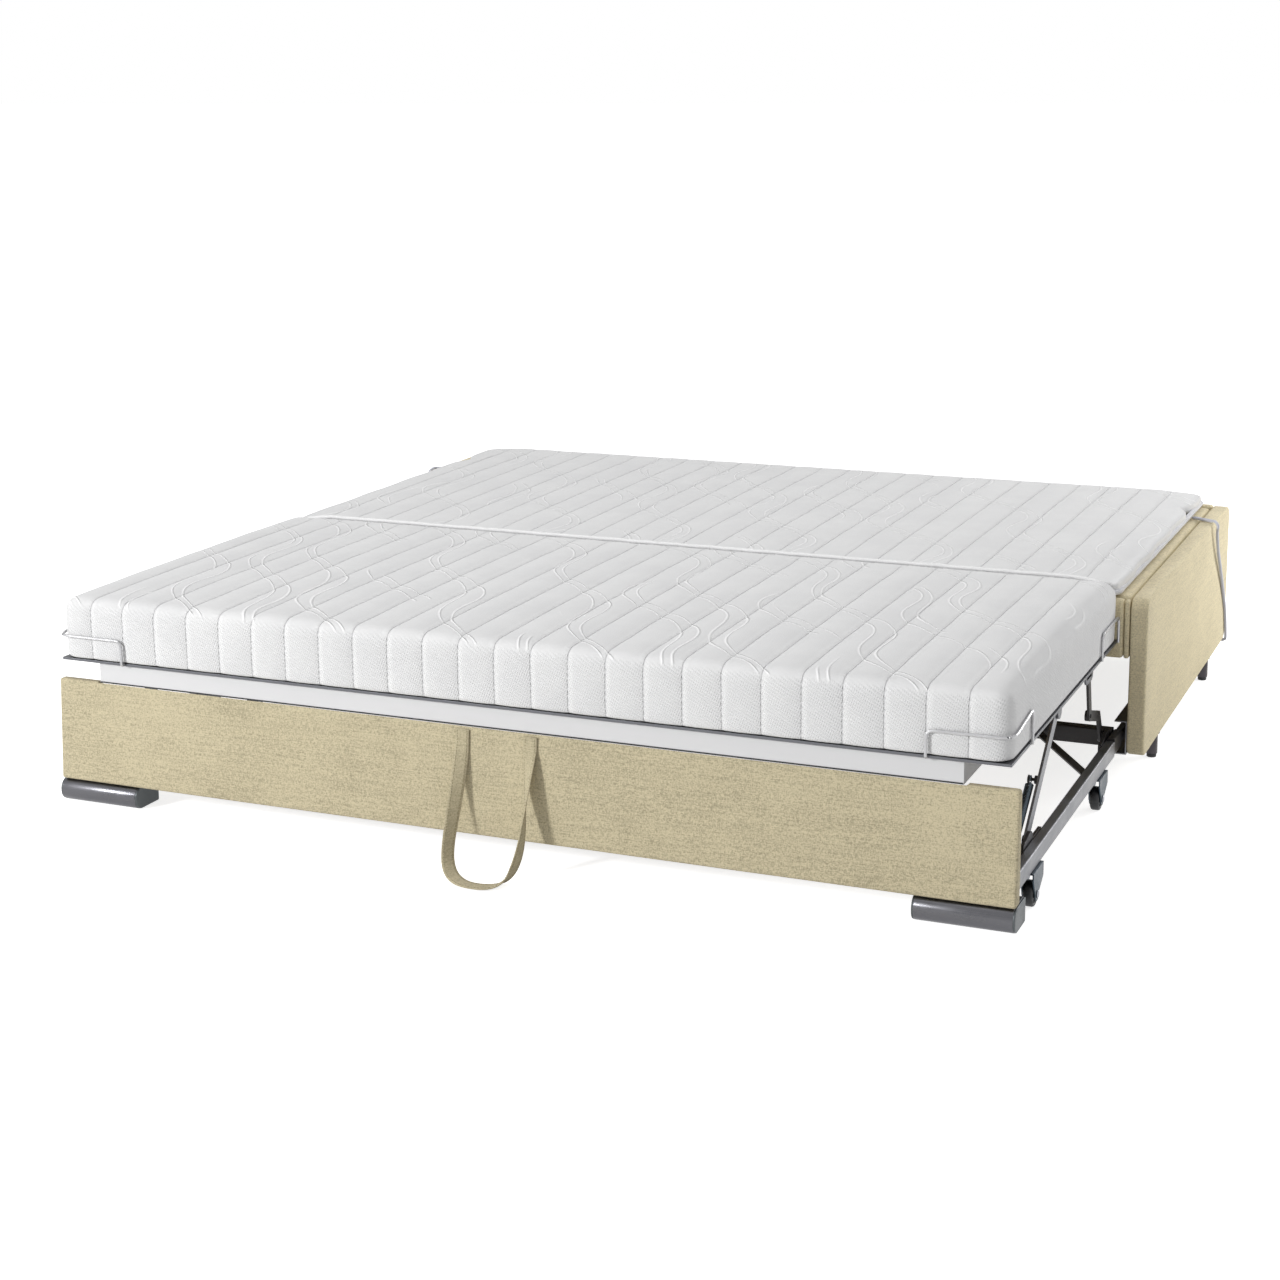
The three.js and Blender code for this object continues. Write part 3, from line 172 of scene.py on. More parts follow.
class Shader:
    """A principled material and short ways to add its nodes."""

    def __init__(self, name, roughness=0.6, metallic=0.0, colour=(0.8, 0.8, 0.8, 1)):
        self.material = bpy.data.materials.new(name)
        self.material.use_nodes = True
        self.nodes = self.material.node_tree.nodes
        self.bsdf = self.nodes["Principled BSDF"]
        self.feed("Roughness", roughness)
        self.feed("Metallic", metallic)
        self.feed("Base Color", colour)
        coords = self.node("TexCoord")
        self.object_place = coords.outputs["Object"]
        self.place = self.split(self.object_place)
        self.facing = self.split(coords.outputs["Normal"])
        self.ground = {}

    def feed(self, name, value):
        connect(self.bsdf.inputs[name], value)

    def node(self, kind, **values):
        """A new node with its named inputs fed."""
        node = self.nodes.new("ShaderNode" + kind)
        for name, value in values.items():
            connect(node.inputs[name], value)
        return node

    def paint(self, share, a, b):
        self.feed("Base Color", self.mix(share, a, b))

    def split(self, vector):
        return [Value(socket) for socket in self.node("SeparateXYZ", Vector=vector).outputs]

    def noise(self, scale, detail=2.0, rough=0.5):
        """Noise from 0 to 1, stretched where the scale is given for each axis."""
        vector = self.object_place
        if isinstance(scale, tuple):
            vector, scale = self.node("Mapping", Vector=vector, Scale=scale).outputs[0], 1.0
        noise = self.node("TexNoise", Vector=vector, Scale=scale, Detail=detail, Roughness=rough)
        return Value(noise.outputs["Fac"])

    def mix(self, share, a, b):
        node = self.node("Mix")
        node.data_type = "RGBA"
        for number, value in ((0, share), (6, a), (7, b)):
            connect(node.inputs[number], value)
        return node.outputs[2]

    def look(self, normal):
        """Takes a normal as the surface's own and as the ground of the next bump."""
        self.ground = {"Normal": normal}
        self.feed("Normal", normal)

    def bump(self, height, distance, strength=1.0):
        self.look(self.node("Bump", Height=height, Distance=distance, Strength=strength, **self.ground).outputs[0])

    def soft_edges(self, radius):
        """Rounds the shading of sharp edges, and returns 1 on those edges and 0 between them."""
        bevel = self.node("Bevel", Radius=radius)
        bevel.samples = 4
        self.look(bevel.outputs[0])
        dot = self.node("VectorMath")
        dot.operation = "DOT_PRODUCT"
        connect(dot.inputs[0], bevel.outputs[0])
        connect(dot.inputs[1], self.node("NewGeometry").outputs["Normal"])
        return Value(dot.outputs["Value"]).between(0.995, 0.93)

    def by_facing(self, pattern):
        """A pattern of two lengths laid on faces that look along X, Y and Z, and mixed on the edges between."""
        x, y, z = self.place
        side = abs(self.facing[0]).between(0.6, 0.8)
        top = abs(self.facing[2]).between(0.6, 0.8)
        front = 1.0 - side.most(top)
        return pattern(x, z) * front + pattern(y, z) * side + pattern(x, y) * top


# Materials
def woven(name, contrast, tone=1.0, relief=0.0007):
    """Coarse heathered cloth: crossing threads of two tones with specks and slow streaks."""
    s = Shader(name, roughness=0.95)
    across = s.noise((170, 170, 560), 3.0, 0.6)
    upright = s.noise((560, 560, 170), 3.0, 0.6)
    speck = s.noise(360, 3.0, 0.7)
    streak = s.noise((14, 14, 380), 2.0, 0.6)
    broad = s.noise(5.0, 2.0)
    blend = across * 0.32 + upright * 0.28 + speck * 0.26 + streak * 0.14 + (broad - 0.5) * 0.10
    spread = 0.105 / contrast
    share = blend.between(0.48 - spread, 0.48 + spread)
    s.paint(share, shaded(BEIGE_DARK, tone), shaded(BEIGE_LIGHT, tone))
    weave = s.by_facing(lambda a, b: a.wave(WEAVE_PERIOD) * b.wave(WEAVE_PERIOD))
    s.bump(weave * 0.35 + blend, relief, 0.8)
    s.feed("Sheen Weight", 0.12)
    s.feed("Specular IOR Level", 0.2)
    return s.material


def quilted_cover(name, wander, bend, knit_strength, stitch_strength):
    """Knitted cover: sewn channels with painted shade in their seams and a painted highlight beside each, diagonal ribs
    on the sides and pairs of wavy stitched lines on top.
    """
    s = Shader(name, roughness=0.88)
    x, y, _ = s.place
    flat = s.facing[2].between(0.35, 0.8)
    end = abs(s.facing[0]).between(0.5, 0.8)
    fine = s.noise(900, 2.0, 0.6)
    cloud = s.noise(7.0, 3.0, 0.6)

    def knit(a, b):
        return ((a * 0.55 + b).wave(RIB_PERIOD) + 1.0) * ((a - b * 0.4).wave(CROSS_RIB_PERIOD) + 1.6)

    drift = x + y * bend + (s.noise(1.3, 1.0, 0.4) - 0.5) * 0.16
    apart = y.wave(0.61, 1.1 + wander) * 0.011 + 0.031

    def double_line(turn, at):
        first = drift + y.wave(0.43, turn) * 0.046 + at
        second = first + apart
        return first.line(SCROLL_EVERY, SCROLL_WIDTH).most(second.line(SCROLL_EVERY, SCROLL_WIDTH))

    gate = s.noise(2.4, 1.0, 0.4).between(0.50, 0.53)
    scroll = double_line(wander, 0.0).most(double_line(wander + 1.9, 0.13) * gate) * (flat * stitch_strength)
    waver = x + (s.noise(26.0, 1.0) - 0.5) * 0.0022
    groove = waver.line(PITCH, 0.0034) * (1.0 - end)
    # Painted highlight: a paler band on the lit side of each channel's puff
    lit_side = x.line(PITCH, 0.016, 0.08) * (1.0 - end)
    base = s.mix((fine * 0.5 + cloud * 0.5).between(0.35, 0.65), COVER_SHADE, COVER_WHITE)
    base = s.mix(lit_side * 0.2, base, COVER_LINE_AND_HIGHLIGHT)
    # Painted shade along the seam grooves
    base = s.mix(groove * 0.40, base, COVER_SEAM_SHADE)
    s.paint(scroll, base, COVER_LINE_AND_HIGHLIGHT)
    ribs = s.by_facing(knit) * (1.0 - flat * 0.92) * (1.0 - end * 0.6)
    pucker = s.noise((26, 210, 80), 3.0, 0.55) * x.line(PITCH, 0.030) * flat
    s.bump(ribs * 0.5 + fine * 0.4, 0.0007, knit_strength)
    s.bump(scroll, 0.0020, 0.9)
    s.bump(pucker, 0.006, 0.55)
    s.bump(1.0 - groove, 0.002, 0.65)
    s.feed("Sheen Weight", 0.2)
    s.feed("Specular IOR Level", 0.25)
    return s.material


def tape_cloth(name, colour, rib=0.0016):
    """Narrow woven tape with fine ribs both ways."""
    s = Shader(name, roughness=0.8)
    s.paint(s.noise(300), shaded(colour, 0.86), colour)
    s.bump(s.by_facing(lambda a, b: a.wave(rib) + b.wave(rib)), 0.0003, 0.6)
    return s.material


def coated_board(name, colour):
    """Smooth coating with a slow grain, in shade on the ends."""
    s = Shader(name)
    s.soft_edges(0.0012)
    end = abs(s.facing[0]).between(0.5, 0.8)
    face = s.mix(s.noise((2.0, 30.0, 30.0), 4.0, 0.6), shaded(colour, 0.93), colour)
    s.paint(end, face, shaded(colour, 0.42))
    s.bump(s.noise(1400, 2.0), 0.0002, 0.4)
    s.feed("Roughness", s.noise(24.0, 3.0).between(0.2, 0.8, 0.38, 0.55))
    return s.material


def metal(name, colour, roughness, metallic=1.0, brush=240.0, edge=0.001, worn=0.5):
    """Metal with a brushed grain, patches of wear and paler rubbed edges."""
    s = Shader(name, metallic=metallic)
    edges = s.soft_edges(edge)
    grain = s.noise(brush, 3.0, 0.6)
    patch = s.noise(14.0, 4.0, 0.6)
    base = s.mix(grain * 0.45 + patch * 0.55, shaded(colour, 0.72), colour)
    chips = edges * s.noise(90.0, 3.0, 0.6).between(0.42, 0.62)
    s.paint(chips * worn, base, shaded(colour, 1.7, 0.08))
    s.feed("Roughness", (patch * 0.6 + grain * 0.4).between(0.25, 0.75, roughness - 0.125, roughness + 0.125))
    s.bump(grain, 0.00025, 0.5)
    return s.material


def plastic(name, colour, roughness=0.5):
    """Moulded plastic with pale scuffs."""
    s = Shader(name, roughness=roughness)
    s.paint(s.noise(60.0, 4.0, 0.65).between(0.45, 0.75), colour, shaded(colour, 1.9, 0.01))
    s.bump(s.noise(900.0, 2.0), 0.0003, 0.4)
    return s.material


def slat_wood(name):
    """Bent wood with its grain along X."""
    s = Shader(name, roughness=0.5)
    rings = s.noise((3.0, 60.0, 60.0), 4.0, 0.6)
    streak = s.noise((8.0, 420.0, 420.0), 3.0, 0.6)
    share = (rings * 0.6 + streak * 0.4).between(0.3, 0.7)
    s.paint(share, (0.42, 0.27, 0.12, 1), (0.68, 0.5, 0.28, 1))
    s.bump(streak, 0.0003, 0.5)
    return s.material


beige = woven("woven_beige", contrast=1.2)
# The seat unit's beige is the same cloth painted lighter, as painted light on its boards
beige_seat_painted_light = woven("woven_seat_painted_light", contrast=0.72, tone=1.42, relief=0.0004)
# The strap's beige is the same cloth painted darker, as painted shade on the loop
beige_strap_painted_shade = woven("woven_strap_painted_shade", contrast=0.8, tone=0.93)
mattress_cover = quilted_cover("quilted_mattress_cover", wander=0.4, bend=0.62, knit_strength=0.62, stitch_strength=1.0)
topper_cover = quilted_cover("quilted_topper_cover", wander=2.3, bend=0.45, knit_strength=0.6, stitch_strength=0.75)
white_tape = tape_cloth("white_binding", (0.99, 0.99, 0.99, 1))
grey_tape = tape_cloth("grey_binding", (0.80, 0.80, 0.83, 1))
elastic = tape_cloth("elastic_tape", srgb(206, 208, 220))
thread_beige = tape_cloth("stitch_thread", srgb(146, 137, 104), 0.0008)
apron_board = coated_board("apron_coating", srgb(215, 215, 216))
aluminium = metal("brushed_aluminium", srgb(103, 103, 107), 0.32, brush=(4.0, 900.0, 900.0))
cap_metal = metal("foot_cap", srgb(92, 96, 98), 0.45)
grey_steel = metal("grey_steel", srgb(132, 133, 137), 0.42, brush=(700.0, 6.0, 700.0))
frame_steel = metal("frame_steel", srgb(106, 107, 111), 0.45, brush=(400.0, 400.0, 400.0))
wire_steel = metal("wire_steel", srgb(194, 194, 196), 0.36, metallic=0.6)
black_steel = metal("black_steel", srgb(50, 48, 49), 0.42, metallic=0.4)
leg_steel = metal("leg_steel", srgb(78, 74, 78), 0.32, metallic=0.7, brush=(900.0, 900.0, 5.0))
spring_steel = metal("spring_steel", srgb(96, 106, 114), 0.28, edge=0.0002, worn=0.2)
fork_steel = metal("fork_steel", srgb(74, 84, 93), 0.36)
bolt_steel = metal("bolt_steel", srgb(170, 172, 178), 0.3, edge=0.0003)
wheel_plastic = plastic("wheel_plastic", srgb(32, 33, 36))
hub_plastic = plastic("hub_plastic", srgb(58, 60, 65), 0.35)
# Black for the strip under the apron, which is painted shade
shade_line_black = plastic("painted_shade_black", srgb(40, 40, 42), 0.7)
wood = slat_wood("slat_wood")


# Meshes
EDGE_SHARES = (0.0, 0.22, 0.48, 0.76, 1.0)
TINY = 1e-9


def shell(xs, ys, zs):
    """Grid of quads over the sides of a box, with shared edge points."""
    lines = (xs, ys, zs)
    index, faces = {}, []

    def at(axes, places, end):
        key = [end % len(line) for line in lines]
        for axis, place_on_axis in zip(axes, places):
            key[axis] = place_on_axis
        return index.setdefault(tuple(key), len(index))

    for axes, ahead, behind in (((0, 1), -1, 0), ((0, 2), 0, -1), ((1, 2), -1, 0)):
        for i in range(len(lines[axes[0]]) - 1):
            for j in range(len(lines[axes[1]]) - 1):
                square = [(i, j), (i + 1, j), (i + 1, j + 1), (i, j + 1)]
                faces.append(tuple(at(axes, places, ahead) for places in square))
                faces.append(tuple(at(axes, places, behind) for places in square[:1] + square[:0:-1]))
    return np.array([[line[k] for line, k in zip(lines, key)] for key in index], float), faces


def edged(low, high, low_radius, radius, middle, shares=EDGE_SHARES):
    """Grid lines with closer ones added where both edges are rounded."""
    return [low + low_radius * share for share in shares] + middle + [high - radius * share for share in shares[::-1]]


def steps(low, high, spacing, radius):
    """Grid lines from low to high, closer together where the edge is rounded."""
    count = max(1, round((high - low - 2 * radius) / spacing))
    middle = [low + radius + (high - low - 2 * radius) * i / count for i in range(1, count)]
    return edged(low, high, radius, radius, middle)


def middle_half(low, high):
    """Middle and half size of a box."""
    low, high = np.array(low, float), np.array(high, float)
    return (low + high) / 2, (high - low) / 2


def rounded(points, low, high, radius, axes=(0, 1, 2)):
    """Points of a box moved so that its edges become round."""
    out = points.copy()
    axes = list(axes)
    part = points[:, axes]
    core = np.clip(part, np.array(low, float)[axes] + radius, np.array(high, float)[axes] - radius)
    away = part - core
    length = np.linalg.norm(away, axis=1)
    scale = np.where(length > TINY, np.abs(away).max(axis=1) / np.maximum(length, TINY), 1.0)
    out[:, axes] = core + away * scale[:, None]
    return out


def soften(points, low, high, plan_radius, top_radius, low_radius):
    """Points of an upright block, drawn in so that its top and bottom edges become round."""
    middle, half = middle_half(low, high)
    from_middle = points - middle
    away = np.abs(from_middle[:, :2]) - np.maximum(half[:2] - plan_radius, 0)
    outside = np.maximum(away, 0)
    distance = np.linalg.norm(outside, axis=1)
    corner = (away > 0).all(axis=1)
    reach = np.maximum(plan_radius - np.where(corner, distance, away.max(axis=1)), 0)
    height = np.maximum(half[2] - np.abs(from_middle[:, 2]), 0)
    radius = np.where(from_middle[:, 2] > 0, top_radius, low_radius)
    edge = np.clip(1 - height / radius, 0, 1)
    border = np.clip(1 - reach / radius, 0, 1)
    scale = np.maximum(edge, border) / np.maximum(np.hypot(edge, border), TINY)
    near = (edge > 0) & (border > 0)
    straight = np.where((away[:, 0] > away[:, 1])[:, None], [1.0, 0.0], [0.0, 1.0])
    direction = np.where(corner[:, None], outside / np.maximum(distance, TINY)[:, None], straight)
    inwards = direction * np.where(near, (1 - border * scale) * radius - reach, 0)[:, None]
    downwards = np.where(near, (1 - edge * scale) * radius - height, 0)[:, None]
    return points - np.hstack([inwards, downwards]) * np.sign(from_middle)


def ripple(points, size, seed, waves=7):
    """A smooth field from -1 to 1 that looks uneven and is the same each run."""
    total = np.zeros(len(points))
    rng = np.random.default_rng(seed)
    for _ in range(waves):
        direction = rng.normal(size=3)
        direction /= np.linalg.norm(direction)
        phase = rng.uniform(0, 2 * pi)
        total += np.sin(points @ direction * (2 * pi / (size * rng.uniform(0.6, 1.6))) + phase)
    return total / waves


def linked(name, data):
    """A new object in the scene."""
    obj = bpy.data.objects.new(name, data)
    scene.collection.objects.link(obj)
    return obj


def make_mesh(name, points, faces, *materials):
    """A smooth object from points and faces."""
    mesh = bpy.data.meshes.new(name)
    mesh.from_pydata([tuple(p) for p in points], [], faces)
    mesh.update()
    for material in materials:
        mesh.materials.append(material)
    mesh.polygons.foreach_set("use_smooth", [True] * len(mesh.polygons))
    return linked(name, mesh)


def read_points(mesh):
    co = np.zeros(len(mesh.vertices) * 3)
    mesh.vertices.foreach_get("co", co)
    return co.reshape(-1, 3)


def subdivide(obj):
    """Makes a mesh finer and rounder."""
    modifier = obj.modifiers.new("finer", "SUBSURF")
    modifier.levels = modifier.render_levels = 1
    graph = bpy.context.evaluated_depsgraph_get()
    mesh = bpy.data.meshes.new_from_object(obj.evaluated_get(graph))
    obj.modifiers.clear()
    obj.data = mesh
    mesh.polygons.foreach_set("use_smooth", [True] * len(mesh.polygons))


def tangents(path):
    """The way that a run of points goes at each of them."""
    last = len(path) - 1
    return [(path[min(i + 1, last)] - path[max(i - 1, 0)]).normalized() for i in range(last + 1)]


def squared(direction, tangent):
    """The part of a direction that is square to a tangent, at length 1."""
    return (direction - tangent * direction.dot(tangent)).normalized()


def circle(centre, across, up, radius, sides):
    """Points round a centre, from two directions that are square to each other."""
    turns = [2 * pi * k / sides for k in range(sides)]
    return [tuple(centre + across * (radius * cos(t)) + up * (radius * sin(t))) for t in turns]


def quarter_turns(corners, count):
    """Points of quarter circles, each given by its centre, its radius and the degrees where it starts."""
    for a, b, radius, start in corners:
        for i in range(count + 1):
            angle = radians(start + 90 * i / count)
            yield a + radius * cos(angle), b + radius * sin(angle)


def skin(sections, closed=False, first=0):
    """Faces through sections of equal length: quads between them and, on an open run, a cap at each end."""
    n, total = len(sections[0]), len(sections) * len(sections[0])
    faces = []
    for row in range(0, total if closed else total - n, n):
        for j in range(n):
            a, b = row + j, row + (j + 1) % n
            faces.append((a, b, (b + n) % total, (a + n) % total))
    if not closed:
        faces += [range(n - 1, -1, -1), range(total - n, total)]
    return [tuple(first + v for v in face) for face in faces]


def sweep(name, sections, material, closed=False):
    """A solid with a skin through sections, with every face turned to look out."""
    obj = make_mesh(name, [p for section in sections for p in section], skin(sections, closed), material)
    mesh = bmesh.new()
    mesh.from_mesh(obj.data)
    bmesh.ops.recalc_face_normals(mesh, faces=mesh.faces)
    mesh.to_mesh(obj.data)
    mesh.free()
    obj.data.update()
    return obj


def tube(name, path, radius, material, sides=10):
    """A round tube along points."""
    sections = []
    normal = None
    for p, tangent in zip(path, tangents(path)):
        normal = squared(normal or tangent.orthogonal(), tangent)
        sections.append(circle(p, normal, tangent.cross(normal), radius, sides))
    return sweep(name, sections, material)


def turned(name, centre, axis, profile, material, segments=48, closed=False):
    """A turned piece about an axis along X, Y or Z. The profile is a list of (along, radius)."""
    directions = [Vector(row) for row in np.eye(3)]
    axis = directions.pop(axis)
    sections = [circle(centre + axis * along, *directions, radius, segments) for along, radius in profile]
    return sweep(name, sections, material, closed)


def join_objects(name, objects):
    """One object from several, keeping their materials and shading."""
    points, faces, slots, materials, smooth = [], [], [], [], []
    for obj in objects:
        mesh = obj.data
        material = mesh.materials[0]
        materials += [material] if material not in materials else []
        for poly in mesh.polygons:
            faces.append(tuple(len(points) + v for v in poly.vertices))
            slots.append(materials.index(material))
            smooth.append(poly.use_smooth)
        points += read_points(mesh).tolist()
        bpy.data.objects.remove(obj)
        bpy.data.meshes.remove(mesh)
    joined = make_mesh(name, points, faces, *materials)
    joined.data.polygons.foreach_set("material_index", slots)
    joined.data.polygons.foreach_set("use_smooth", smooth)
    return joined


def place(piece, body, slot, *replaced):
    """Hangs a piece on its body and hides the solids that it stands for. The name of its finish, slot, is not used."""
    if replaced:
        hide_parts(*replaced)
    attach(piece, body)
    return piece


# Pads
TOPPER_FALL = 0.017
TOPPER_FALL_RUN = 0.12
PRESSURE = 4.0
SWELL_CAP = 0.003


def pinch_at(y):
    """How far the topper's end is drawn in beside the tape, with a shallow scallop on each side of it."""
    away = y - PINCH_PLACE
    return PINCH_DEPTH * np.exp(-(away / PINCH_HALF_WIDTH) ** 2) + SCALLOP_DEPTH * np.cos(away * 15.0) ** 2


def pad(name, node, material, radius, low_radius, plan_radius, channel_depth, crown, spacing, draw_in, end_fall,
        end_run, seed, pinched=False):
    """A quilted pad that fills its node's box: rounded edges, sunk channels, a low crown and uneven sides."""
    low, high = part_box(node)
    starts = [low.x + PITCH * c for c in range(round((high.x - low.x) / PITCH))]
    lines = [start + PITCH * share for start in starts for share in (0.0, 0.05, 0.17, 0.38, 0.62, 0.83, 0.95)]
    lines = [v for v in lines if low.x + radius < v < high.x - radius]
    levels = [low.z + low_radius + 0.014 * i for i in range(1, 6)]
    if high.z - low.z < 0.06:
        levels = [(high.z - radius + low.z + low_radius) / 2]
    points, faces = shell(
        edged(low.x, high.x, radius, radius, lines, (0.0, 0.25, 0.55, 0.85)),
        steps(low.y, high.y, spacing, radius), edged(low.z, high.z, low_radius, radius, levels))
    points = rounded(points, low, high, plan_radius, axes=(0, 1))
    points = soften(points, low, high, plan_radius, radius, low_radius)
    middle, half = middle_half(low, high)
    x, y, z = points.T

    def from_end():
        return half[0] - np.abs(x - middle[0])

    phase = np.abs(np.sin(np.pi * (x - low.x) / PITCH))
    sink = channel_depth * (1 - phase ** 0.55) * np.clip(from_end() / 0.03, 0, 1) * np.clip((high.y - y) / 0.10, 0.3, 1)
    up = np.clip((z - middle[2]) / half[2], -1, 1)
    out = np.clip((y - middle[1]) / half[1], -1, 1)
    rise = np.clip((half[1] - np.abs(y - middle[1])) / 0.25, 0, 1)
    top_share = np.clip(up, 0, 1) ** 3
    low_share = np.clip(-up, 0, 1)
    drawn = draw_in * low_share ** 2
    z -= (sink + crown * (1 - rise ** 0.7)) * top_share
    z -= end_fall * np.clip(1 - from_end() / end_run, 0, 1) ** 2 * top_share
    y -= np.sign(out) * (np.abs(out) ** 24 * sink * 0.8 + np.abs(out) ** 12 * drawn)
    x -= np.sign(x - middle[0]) * (np.abs(x - middle[0]) / half[0]) ** 40 * drawn
    z += ripple(points, 0.16, seed) * 0.0009 * top_share
    if pinched:
        near = pinch_at(y) * np.clip(1 - from_end() / PINCH_RUN, 0, 1)
        x -= np.sign(x - middle[0]) * near
        z += 0.3 * near * low_share
    obj = make_mesh(name, points, faces, material)
    held = np.where((phase < 0.12) | (np.abs(up) < 0.15))[0].tolist()
    obj.vertex_groups.new(name="held").add(held, 1.0, "REPLACE")
    return obj, low, high


def inflate(jobs, frames=18):
    """Cloth with pressure on each pad and its seams held. No point passes the cap or its pad's room."""
    for obj, *_ in jobs:
        modifier = obj.modifiers.new("cloth", "CLOTH")
        cloth = modifier.settings
        cloth.quality = 5
        cloth.mass = 0.25
        cloth.tension_stiffness = cloth.compression_stiffness = 18
        cloth.shear_stiffness = 9
        cloth.bending_stiffness = 2.0
        cloth.tension_damping = 12
        cloth.use_pressure = True
        cloth.uniform_pressure_force = PRESSURE
        cloth.vertex_group_mass = "held"
        cloth.effector_weights.gravity = 0
        modifier.collision_settings.use_collision = False
        modifier.point_cache.frame_end = frames
    for number in range(1, frames + 1):
        scene.frame_set(number)
    graph = bpy.context.evaluated_depsgraph_get()
    for obj, low, high, room_below, room_above in jobs:
        before = read_points(obj.data)
        move = read_points(obj.evaluated_get(graph).data) - before
        length = np.linalg.norm(move, axis=1)
        moved = before + move * np.minimum(1.0, SWELL_CAP / np.maximum(length, TINY))[:, None]
        moved = np.clip(moved, np.array(low) - room_below, np.array(high) + room_above)
        obj.modifiers.clear()
        obj.data.vertices.foreach_set("co", moved.astype(np.float32).ravel())
        obj.data.update()
    scene.frame_set(1)


mattress, m_low, m_high = pad(
    "mattress_pad", "mattress", mattress_cover, radius=0.034, low_radius=0.009, plan_radius=0.036, channel_depth=0.0052,
    crown=0.004, spacing=0.016, draw_in=0.001, end_fall=0.003, end_run=0.09, seed=3)
topper, t_low, t_high = pad(
    "topper_pad", "topper", topper_cover, radius=0.022, low_radius=0.006, plan_radius=0.026, channel_depth=0.0042,
    crown=0.003, spacing=0.018, draw_in=0.003, end_fall=TOPPER_FALL, end_run=TOPPER_FALL_RUN, seed=5, pinched=True)
inflate([(mattress, m_low, m_high, (0.0005, 0.002, 0), (0.0005, 0, 0.003)),
         (topper, t_low, t_high, (0.001, 0, 0), (0.001, 0.001, 0.004))])
subdivide(mattress)
subdivide(topper)
place(mattress, "platform", "mattress_cover", "mattress")
place(topper, "seat_unit", "mattress_cover", "topper")


# Bindings of the topper: a roll round its foot and a welt along its front edge
BINDING_RADIUS = 0.0062
BINDING_HEIGHT = 0.0075
BINDING_INSET = 0.0015
PLAN_CORNER = 0.026
WELT_RADIUS = 0.0042
WELT_SINK = 0.0012
WELT_IN = 0.0043
WELT_ENDS = ((0.012, 0.035, 0.014), (0.022, 0.018, 0.006))   # from the pad's end, from its front, below the welt


def binding_route():
    """A closed run round the topper's foot, with round corners."""
    near, far = t_low + Vector([PLAN_CORNER] * 3), t_high - Vector([PLAN_CORNER] * 3)
    reach = PLAN_CORNER - BINDING_INSET
    corners = ((far.x, far.y, reach, 0), (near.x, far.y, reach, 90),
               (near.x, near.y, reach, 180), (far.x, near.y, reach, 270))
    route = []
    for x, y in quarter_turns(corners, 8):
        drawn = copysign(pinch_at(y), x) if abs(x) > t_high.x - 0.012 else 0.0
        route.append(Vector((x - drawn, y, t_low.z + BINDING_HEIGHT)))
    return route


def ring(name, route, radius, material, sides=10):
    """A tube along a closed level route, slightly uneven."""
    dense = []
    for a, b in zip(route, route[1:] + route[:1]):
        count = max(1, round((b - a).length / 0.02))
        dense += [a.lerp(b, i / count) for i in range(count)]
    up = Vector((0, 0, 1))
    sections = []
    for i, p in enumerate(dense):
        side = (dense[(i + 1) % len(dense)] - dense[i - 1]).cross(up).normalized()
        uneven = 1 + 0.06 * sin(i * 1.7) * sin(i * 0.37)
        sections.append(circle(p, side, up, radius * uneven, sides))
    return sweep(name, sections, material, closed=True)


def welt_height(x):
    """Height of the welt, which sinks with the ends of the pad."""
    away = min(x - t_low.x, t_high.x - x)
    return t_high.z - WELT_SINK - TOPPER_FALL * max(0.0, 1 - away / TOPPER_FALL_RUN) ** 2


def welt_route(count=80):
    """The welt's way along the topper's front, turned back and down at both ends."""
    def end(x, y, down):
        return Vector((x, t_low.y + y, welt_height(x) - down))

    route = [end(t_low.x + x, y, down) for x, y, down in WELT_ENDS]
    for i in range(count + 1):
        x = t_low.x + PLAN_CORNER + (t_high.x - t_low.x - 2 * PLAN_CORNER) * i / count
        y = t_low.y + WELT_IN + 0.0012 * sin(i * 0.9) * sin(i * 0.31)
        route.append(Vector((x, y, welt_height(x) - 0.0008 * abs(sin(i * 1.02)))))
    return route + [end(t_high.x - x, y, down) for x, y, down in reversed(WELT_ENDS)]


place(ring("topper_low_binding", binding_route(), BINDING_RADIUS, grey_tape), "seat_unit", "mattress_cover")
place(tube("topper_front_welt", welt_route(), WELT_RADIUS, white_tape), "seat_unit", "mattress_cover")


# Upholstered boards
SEAT_SEAMS = (-0.336, 0.336)
PANEL_CUT = (0.906, FRONT_PLANE + 0.0015, FRONT_PLANE + 0.019, 0.027)   # half its width, its front, its back, its fall


